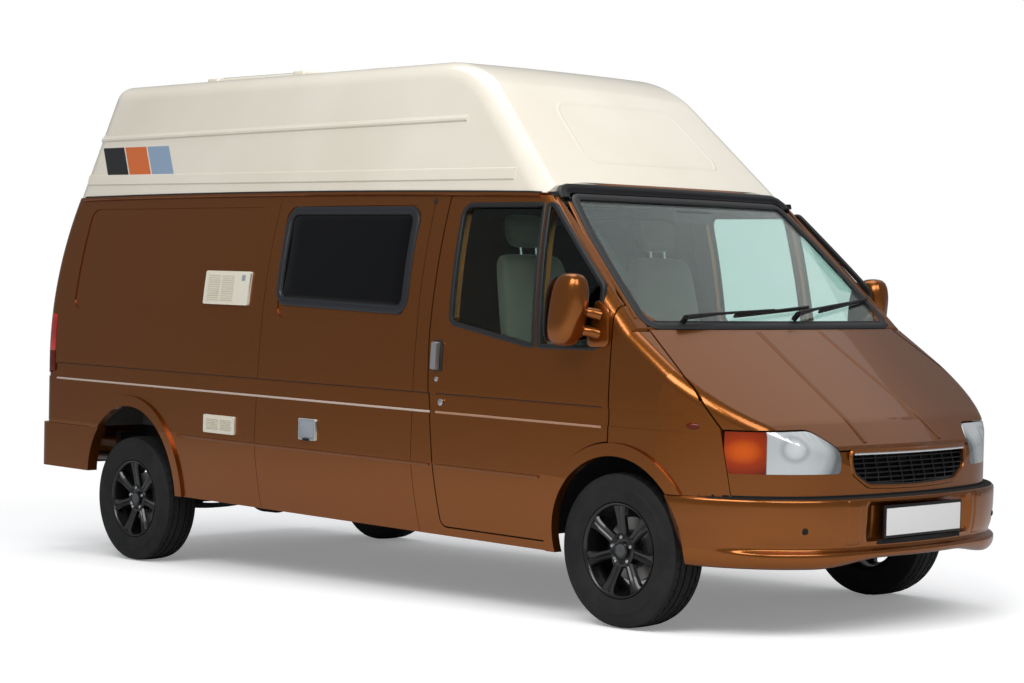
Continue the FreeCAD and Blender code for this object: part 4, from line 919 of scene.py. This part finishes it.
def front_seat(s, x):
    def tilted(degrees):
        return Matrix.Rotation(math.radians(degrees), 3, "X")

    def base(t):
        return (Vector((x, -1.285 + 0.50 * t, 0.970)), 0.245 * (0.9 + 0.1 * eased(t)), 0.052 * eased(t, 0.14),
                tilted(0))

    def back(t):
        return (Vector((x, -0.815, 1.035)).lerp(Vector((x, -0.700, 1.585)), t),
                0.232 * (1.0 - 0.16 * t * t) * (0.88 + 0.12 * eased(t)), 0.052 * eased(t, 0.12), tilted(101))

    def head(t):
        return (Vector((x, -0.688, 1.615)).lerp(Vector((x, -0.660, 1.770)), t), 0.118 * (0.8 + 0.2 * eased(t, 0.3)),
                0.040 * eased(t, 0.3), tilted(100))

    pieces = [cushion("seat_cushion_" + s, base, 22, 0.012), cushion("seat_back_" + s, back, 24, 0.010),
              cushion("seat_head_" + s, head, 14, 0.006)]
    for i, dx in enumerate((-0.05, 0.05)):
        pieces.append(tube("seat_stem_%s_%d" % (s, i), [(x + dx, -0.700, 1.560), (x + dx, -0.686, 1.640)], 0.006,
                           chrome))
    for piece in pieces:
        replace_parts(piece, "cab_seats")


for s, side in SIDES.items():
    front_seat(s, side * 0.45)

# Cab details seen through the glass
block("dash_hood", (-0.70, -1.600, 1.215), (-0.22, -1.440, 1.262), trim_grey, 0.025)
block("dash_shelf", (-0.10, -1.470, 1.060), (0.72, -1.396, 1.130), black, 0.015)
block("mirror_inside", (-0.12, -1.330, 1.745), (0.12, -1.305, 1.800), black, 0.010)
for s, side in SIDES.items():
    a, b = sorted((side * 0.12, side * 0.62))
    block("sun_visor_" + s, (a, -1.215, 1.812), (b, -1.060, 1.830), lining, 0.008)
block("cab_ceiling", (-0.70, -1.17, 1.842), (0.70, -0.50, 1.856), lining, 0.006)

# Painted strip between the windscreen seal and the door frame
for s, side in SIDES.items():
    line = [(side * x, z) for x, z in ((0.874, 1.318), (0.866, 1.345), (0.838, 1.508), (0.804, 1.672), (0.756, 1.815))]
    front_strip("pillar_strip_" + s, line, [(-0.011, -0.006), (-0.011, 0.001), (-0.006, 0.003), (0.006, 0.003),
                (0.011, 0.001), (0.011, -0.006)], paint, False)

# Visor with rounded ends, and the cowl panel
VISOR = [(-0.764, 1.830), (-0.760, 1.850), (-0.742, 1.868), (-0.705, 1.878), (0.705, 1.878), (0.742, 1.868),
         (0.760, 1.850), (0.764, 1.830)]
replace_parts(front_strip("screen_visor", VISOR, [
    (-0.030, -0.004), (-0.030, 0.006), (-0.019, 0.0145), (0.003, 0.0155), (0.013, 0.011), (0.018, 0.006),
    (0.028, 0.004), (0.028, -0.004)], black, False), "windscreen_trim")
for i, polygons in enumerate(loose_parts("windscreen_trim")):
    if max(co[2] for polygon in polygons for co in polygon) < 1.6:
        from_polygons("cowl_panel_%d" % i, polygons, black, "windscreen_trim")

# The tail lamps' edge on the sides
for s, side in SIDES.items():
    for tone, low, high, mat in (("red", 1.003, 1.205, red_lens), ("amber", 0.890, 1.003, amber)):
        plate_on_side(f"tail_edge_{tone}_{s}", side, 2.522, 2.566, low, high, 0.0, 0.004, mat, 0.008)

# Bonnet creases, as low ridges in the paint
for s, side in SIDES.items():
    line = [(side * (0.265 - 0.050 * t), 0.820 + (1.262 - 0.820) * t) for t in spread(0, 1, 24)]
    sweep("bonnet_crease_" + s, [front_point(x, z) for x, z in line], [front_normal(x, z) for x, z in line],
          ridge(0.022, 0.002, 0.004, 0.0035), paint, "bonnet_body", False)

# Cowl slots below the wipers, dark blocks of painted shade
for i, x in enumerate((-0.30, 0.36)):
    y = front_point(abs(x) + 0.07, 1.286).y
    block("cowl_slot_%d" % i, (x - 0.09, y - 0.003, 1.283), (x + 0.09, y + 0.03, 1.290), dark, 0.002)

# Front bumper: round buttons, and holes made as dark insets of painted shade
for s, side in SIDES.items():
    for name, x, z, half, out, mat, soft in (("bumper_button_", 0.438, 0.566, 0.012, 0.006, paint, 0.010),
                                             ("bumper_hole_", 0.656, 0.473, 0.017, -0.0012, dark, 0.0135)):
        place = Matrix.Translation((side * x, bumper_y(x) + 0.015 - out, z))
        turn = Matrix.Rotation(math.atan2(side * x, ARC), 4, "Z")
        soft_box(name + s, (2 * half, 0.03, 2 * half), place @ turn, mat, soft, 4, 0.5, sharp=False)

# Bumper skin: full face, hollow above a round lip that fades into the corners, raised pads and plate recess.
# Each row of the section is height, place out of the plan with the lip, and place without it.
BUMPER_ROWS = [
    (0.600, -0.055, -0.055), (0.600, -0.014, -0.014), (0.5985, -0.007, -0.007), (0.594, -0.002, -0.002),
    (0.586, 0.0, 0.0), (0.565, 0.0005, 0.0005), (0.545, 0.0, 0.0005), (0.52, -0.0005, 0.0005), (0.50, -0.0015, 0.0),
    (0.48, -0.003, 0.0), (0.46, -0.005, 0.0), (0.445, -0.007, 0.0), (0.43, -0.010, 0.0), (0.418, -0.014, 0.0),
    (0.408, -0.0175, 0.0), (0.400, -0.019, 0.0), (0.393, -0.018, 0.0), (0.3875, -0.013, 0.0), (0.384, -0.007, 0.0),
    (0.3805, -0.001, -0.0002), (0.3765, 0.003, -0.0005), (0.371, 0.005, -0.001), (0.363, 0.0055, -0.002),
    (0.353, 0.0045, -0.004), (0.343, 0.002, -0.0065), (0.333, -0.002, -0.010), (0.324, -0.008, -0.015),
    (0.317, -0.016, -0.021), (0.3125, -0.026, -0.029), (0.3105, -0.038, -0.040), (0.3105, -0.055, -0.055)]
LIP_FOOT = 0.375  # Below this the skin rises towards the middle
ARCH_RADIUS, ARCH_FRONT = 0.385, -1.930


def bumper_skin():
    front, half, corner = BUMPER
    corner_x = half - corner
    bend = math.asin(corner_x / (ARC - corner))
    centre_y = front + ARC
    corner_y = centre_y - (ARC - corner) * math.cos(bend)
    columns = [("front", bend * k / 100) for k in range(100)] + [("corner", k / 150) for k in range(151)]
    columns = [(-1, c) for c in reversed(columns[1:])] + [(1, c) for c in columns]
    verts = []
    for side, (zone, value) in columns:
        for z, lip, plain in BUMPER_ROWS:
            reach = math.sqrt(max(ARCH_RADIUS ** 2 - (z - AXLE.z) ** 2, 0.0))
            last = math.acos((corner_y - min(AXLE.y - reach, ARCH_FRONT)) / corner)
            angle = value if zone == "front" else bend + (last - bend) * value
            radius, cx, cy = (ARC, 0.0, centre_y) if zone == "front" else (corner, corner_x, corner_y)
            x = cx + radius * math.sin(angle)
            lips = 1 - soft_step(0.780, 0.930, x)
            out = lip * lips + plain * (1 - lips)
            low = 1 - 0.55 * (1 - soft_step(0.25, 0.62, x))
            height = z if z > LIP_FOOT else LIP_FOOT - (LIP_FOOT - z) * low
            if out > -0.05:
                recess = (1 - soft_step(0.315, 0.380, x)) * soft_step(0.418, 0.434, z)
                pad = soft_step(0.402, 0.407, x) * (1 - soft_step(0.468, 0.473, x)) * soft_step(0.402, 0.414, z)
                out += 0.004 * pad * (1 - soft_step(0.590, 0.5975, z))
                out -= 0.032 * recess * (1 - soft_step(0.572, 0.586, z))
            verts.append(W((side * (x + out * math.sin(angle)), cy - (radius + out) * math.cos(angle), height)))
    return add_object("bumper_skin", verts, capped(len(columns), len(BUMPER_ROWS)), paint)


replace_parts(bumper_skin(), "front_bumper")
# Groove above the lip: a dark strip of painted shade
xs = spread(-0.290, 0.290, 24)
sweep("bumper_slot", [Vector((x, bumper_y(x) + 0.016, 0.414)) for x in xs],
      [Vector((x / ARC, -1, 0)).normalized() for x in xs], ridge(0.010, 0.006, 0.010, 0.003), dark, closed=False)

# Painted shade: a black sheet in the gap between the nose and the top of the bumper
verts = []
xs = spread(-0.925, 0.925, 72)
for x in xs:
    near, far = nose_y(x), bumper_y(x)
    verts += [W(q) for q in ((x, near - 0.0012, 0.611), (x, near - 0.0012, 0.6015), (x, far + 0.012, 0.6012),
                             (x, far + 0.012, 0.5990), (x, near + 0.004, 0.5990), (x, near + 0.004, 0.611))]
add_object("bumper_gap", verts, capped(len(xs), 6), dark, smooth=False)

# Amber repeater on each wing, seated on the corner of the nose
x = 0.9358
out = Vector(((nose_y(x + 0.001) - nose_y(x - 0.001)) / 0.002, -1, 0)).normalized()
along = Vector((-out.y, out.x, 0))
for s, side in SIDES.items():
    verts = []
    for k in range(5):
        turn = math.pi / 2 * k / 4.4
        for a in angles(24):
            p = (Vector((x, nose_y(x), 0.887 + 0.015 * math.cos(turn) * math.sin(a)))
                 + out * (0.012 * math.sin(turn) - 0.004) + along * 0.033 * math.cos(turn) * math.cos(a))
            verts.append(W((side * p.x, p.y, p.z)))
    add_object("repeater_" + s, verts, capped(5, 24), amber)

# Camera
eye = Vector((-8.004, -8.441, 1.347))
yaw, pitch, roll = math.radians(-43.998), math.radians(0.770), math.radians(0.258)
ahead = Vector((-math.sin(yaw) * math.cos(pitch), math.cos(yaw) * math.cos(pitch), -math.sin(pitch)))
right = Vector((math.cos(yaw), math.sin(yaw), 0))
up = right.cross(ahead)
rolled_right = right * math.cos(roll) + up * math.sin(roll)
rolled_up = up * math.cos(roll) - right * math.sin(roll)
camera = bpy.data.objects.new("camera", bpy.data.cameras.new("camera"))
bpy.context.scene.collection.objects.link(camera)
camera.data.sensor_width = 36.0
camera.data.lens = 80.57
basis = Matrix((rolled_right, rolled_up, -ahead)).transposed().to_4x4()
camera.matrix_world = Matrix.Translation(eye) @ basis
bpy.context.scene.camera = camera

# Stage
bpy.ops.mesh.primitive_plane_add(size=60)
floor = bpy.context.object
floor.name = "floor"


def stage_material(name, seen, lit):
    """Plain pale, its shadows kept near the van and white far off."""
    mat = bpy.data.materials.new(name)
    mat.use_nodes = True
    tree = mat.node_tree
    tree.nodes.clear()
    new, link = tree.nodes.new, tree.links.new
    bsdf = new("ShaderNodeBsdfDiffuse")
    glow = new("ShaderNodeEmission")
    glow.inputs["Color"].default_value = (*seen, 1)
    glow.inputs["Strength"].default_value = 1.0
    tint = new("ShaderNodeMix")
    tint.data_type = "RGBA"
    tint.inputs["A"].default_value = (*lit, 1)
    tint.inputs["B"].default_value = (1.25, 1.25, 1.25, 1)
    seen_by_camera = new("ShaderNodeLightPath").outputs["Is Camera Ray"]
    away = new("ShaderNodeVectorMath")
    away.operation = "LENGTH"
    fade = new("ShaderNodeMapRange")
    fade.interpolation_type = "SMOOTHSTEP"
    for socket, value in (("From Min", 3.4), ("From Max", 6.2), ("To Min", 0.22), ("To Max", 1.0)):
        fade.inputs[socket].default_value = value
    mix = new("ShaderNodeMixShader")
    link(new("ShaderNodeNewGeometry").outputs["Position"], away.inputs[0])
    link(away.outputs["Value"], fade.inputs["Value"])
    link(seen_by_camera, tint.inputs["Factor"])
    link(tint.outputs["Result"], bsdf.inputs["Color"])
    link(calc(tree, "MULTIPLY", seen_by_camera, fade.outputs["Result"]), mix.inputs[0])
    link(bsdf.outputs[0], mix.inputs[1])
    link(glow.outputs[0], mix.inputs[2])
    link(mix.outputs[0], new("ShaderNodeOutputMaterial").inputs[0])
    return mat


floor.data.materials.append(stage_material("pale_floor", (1.0, 1.0, 1.0), (0.58, 0.58, 0.58)))

# World: dim and cool as light, dimmer in reflections, white to the camera and through glass
world = bpy.data.worlds.new("studio")
bpy.context.scene.world = world
world.use_nodes = True
tree = world.node_tree
background = tree.nodes["Background"]
background.inputs["Color"].default_value = (0.93, 0.96, 1.0, 1)
white = tree.nodes.new("ShaderNodeBackground")
white.inputs["Color"].default_value = (1, 1, 1, 1)
white.inputs["Strength"].default_value = 1.0
rays = tree.nodes.new("ShaderNodeLightPath").outputs
mix = tree.nodes.new("ShaderNodeMixShader")
tree.links.new(calc(tree, "MULTIPLY_ADD", rays["Is Glossy Ray"], -0.18, 0.42), background.inputs["Strength"])
tree.links.new(calc(tree, "MAXIMUM", rays["Is Camera Ray"], rays["Is Transmission Ray"]), mix.inputs[0])
tree.links.new(background.outputs[0], mix.inputs[1])
tree.links.new(white.outputs[0], mix.inputs[2])
tree.links.new(mix.outputs[0], tree.nodes["World Output"].inputs[0])


def lamp(name, place, aim, size, power):
    data = bpy.data.lights.new(name, "AREA")
    data.shape = "RECTANGLE"
    data.size, data.size_y = size
    data.energy = power
    obj = bpy.data.objects.new(name, data)
    bpy.context.scene.collection.objects.link(obj)
    obj.location = place
    obj.rotation_euler = (Vector(aim) - Vector(place)).to_track_quat("-Z", "Y").to_euler()


lamp("key", (-7, -3.5, 7.5), (0, 0, 1.2), (7, 4), 520)
lamp("front_fill", (-1.5, -8.2, 6.8), (0, -1.8, 1), (6, 4), 285)
lamp("top", (0.5, 1.0, 9.0), (0, 0, 1), (6, 6), 235)
lamp("far_side", (6.4, -0.5, 8.0), (0, -1.0, 1), (4.5, 5), 30)

bpy.context.scene.view_settings.view_transform = "Standard"
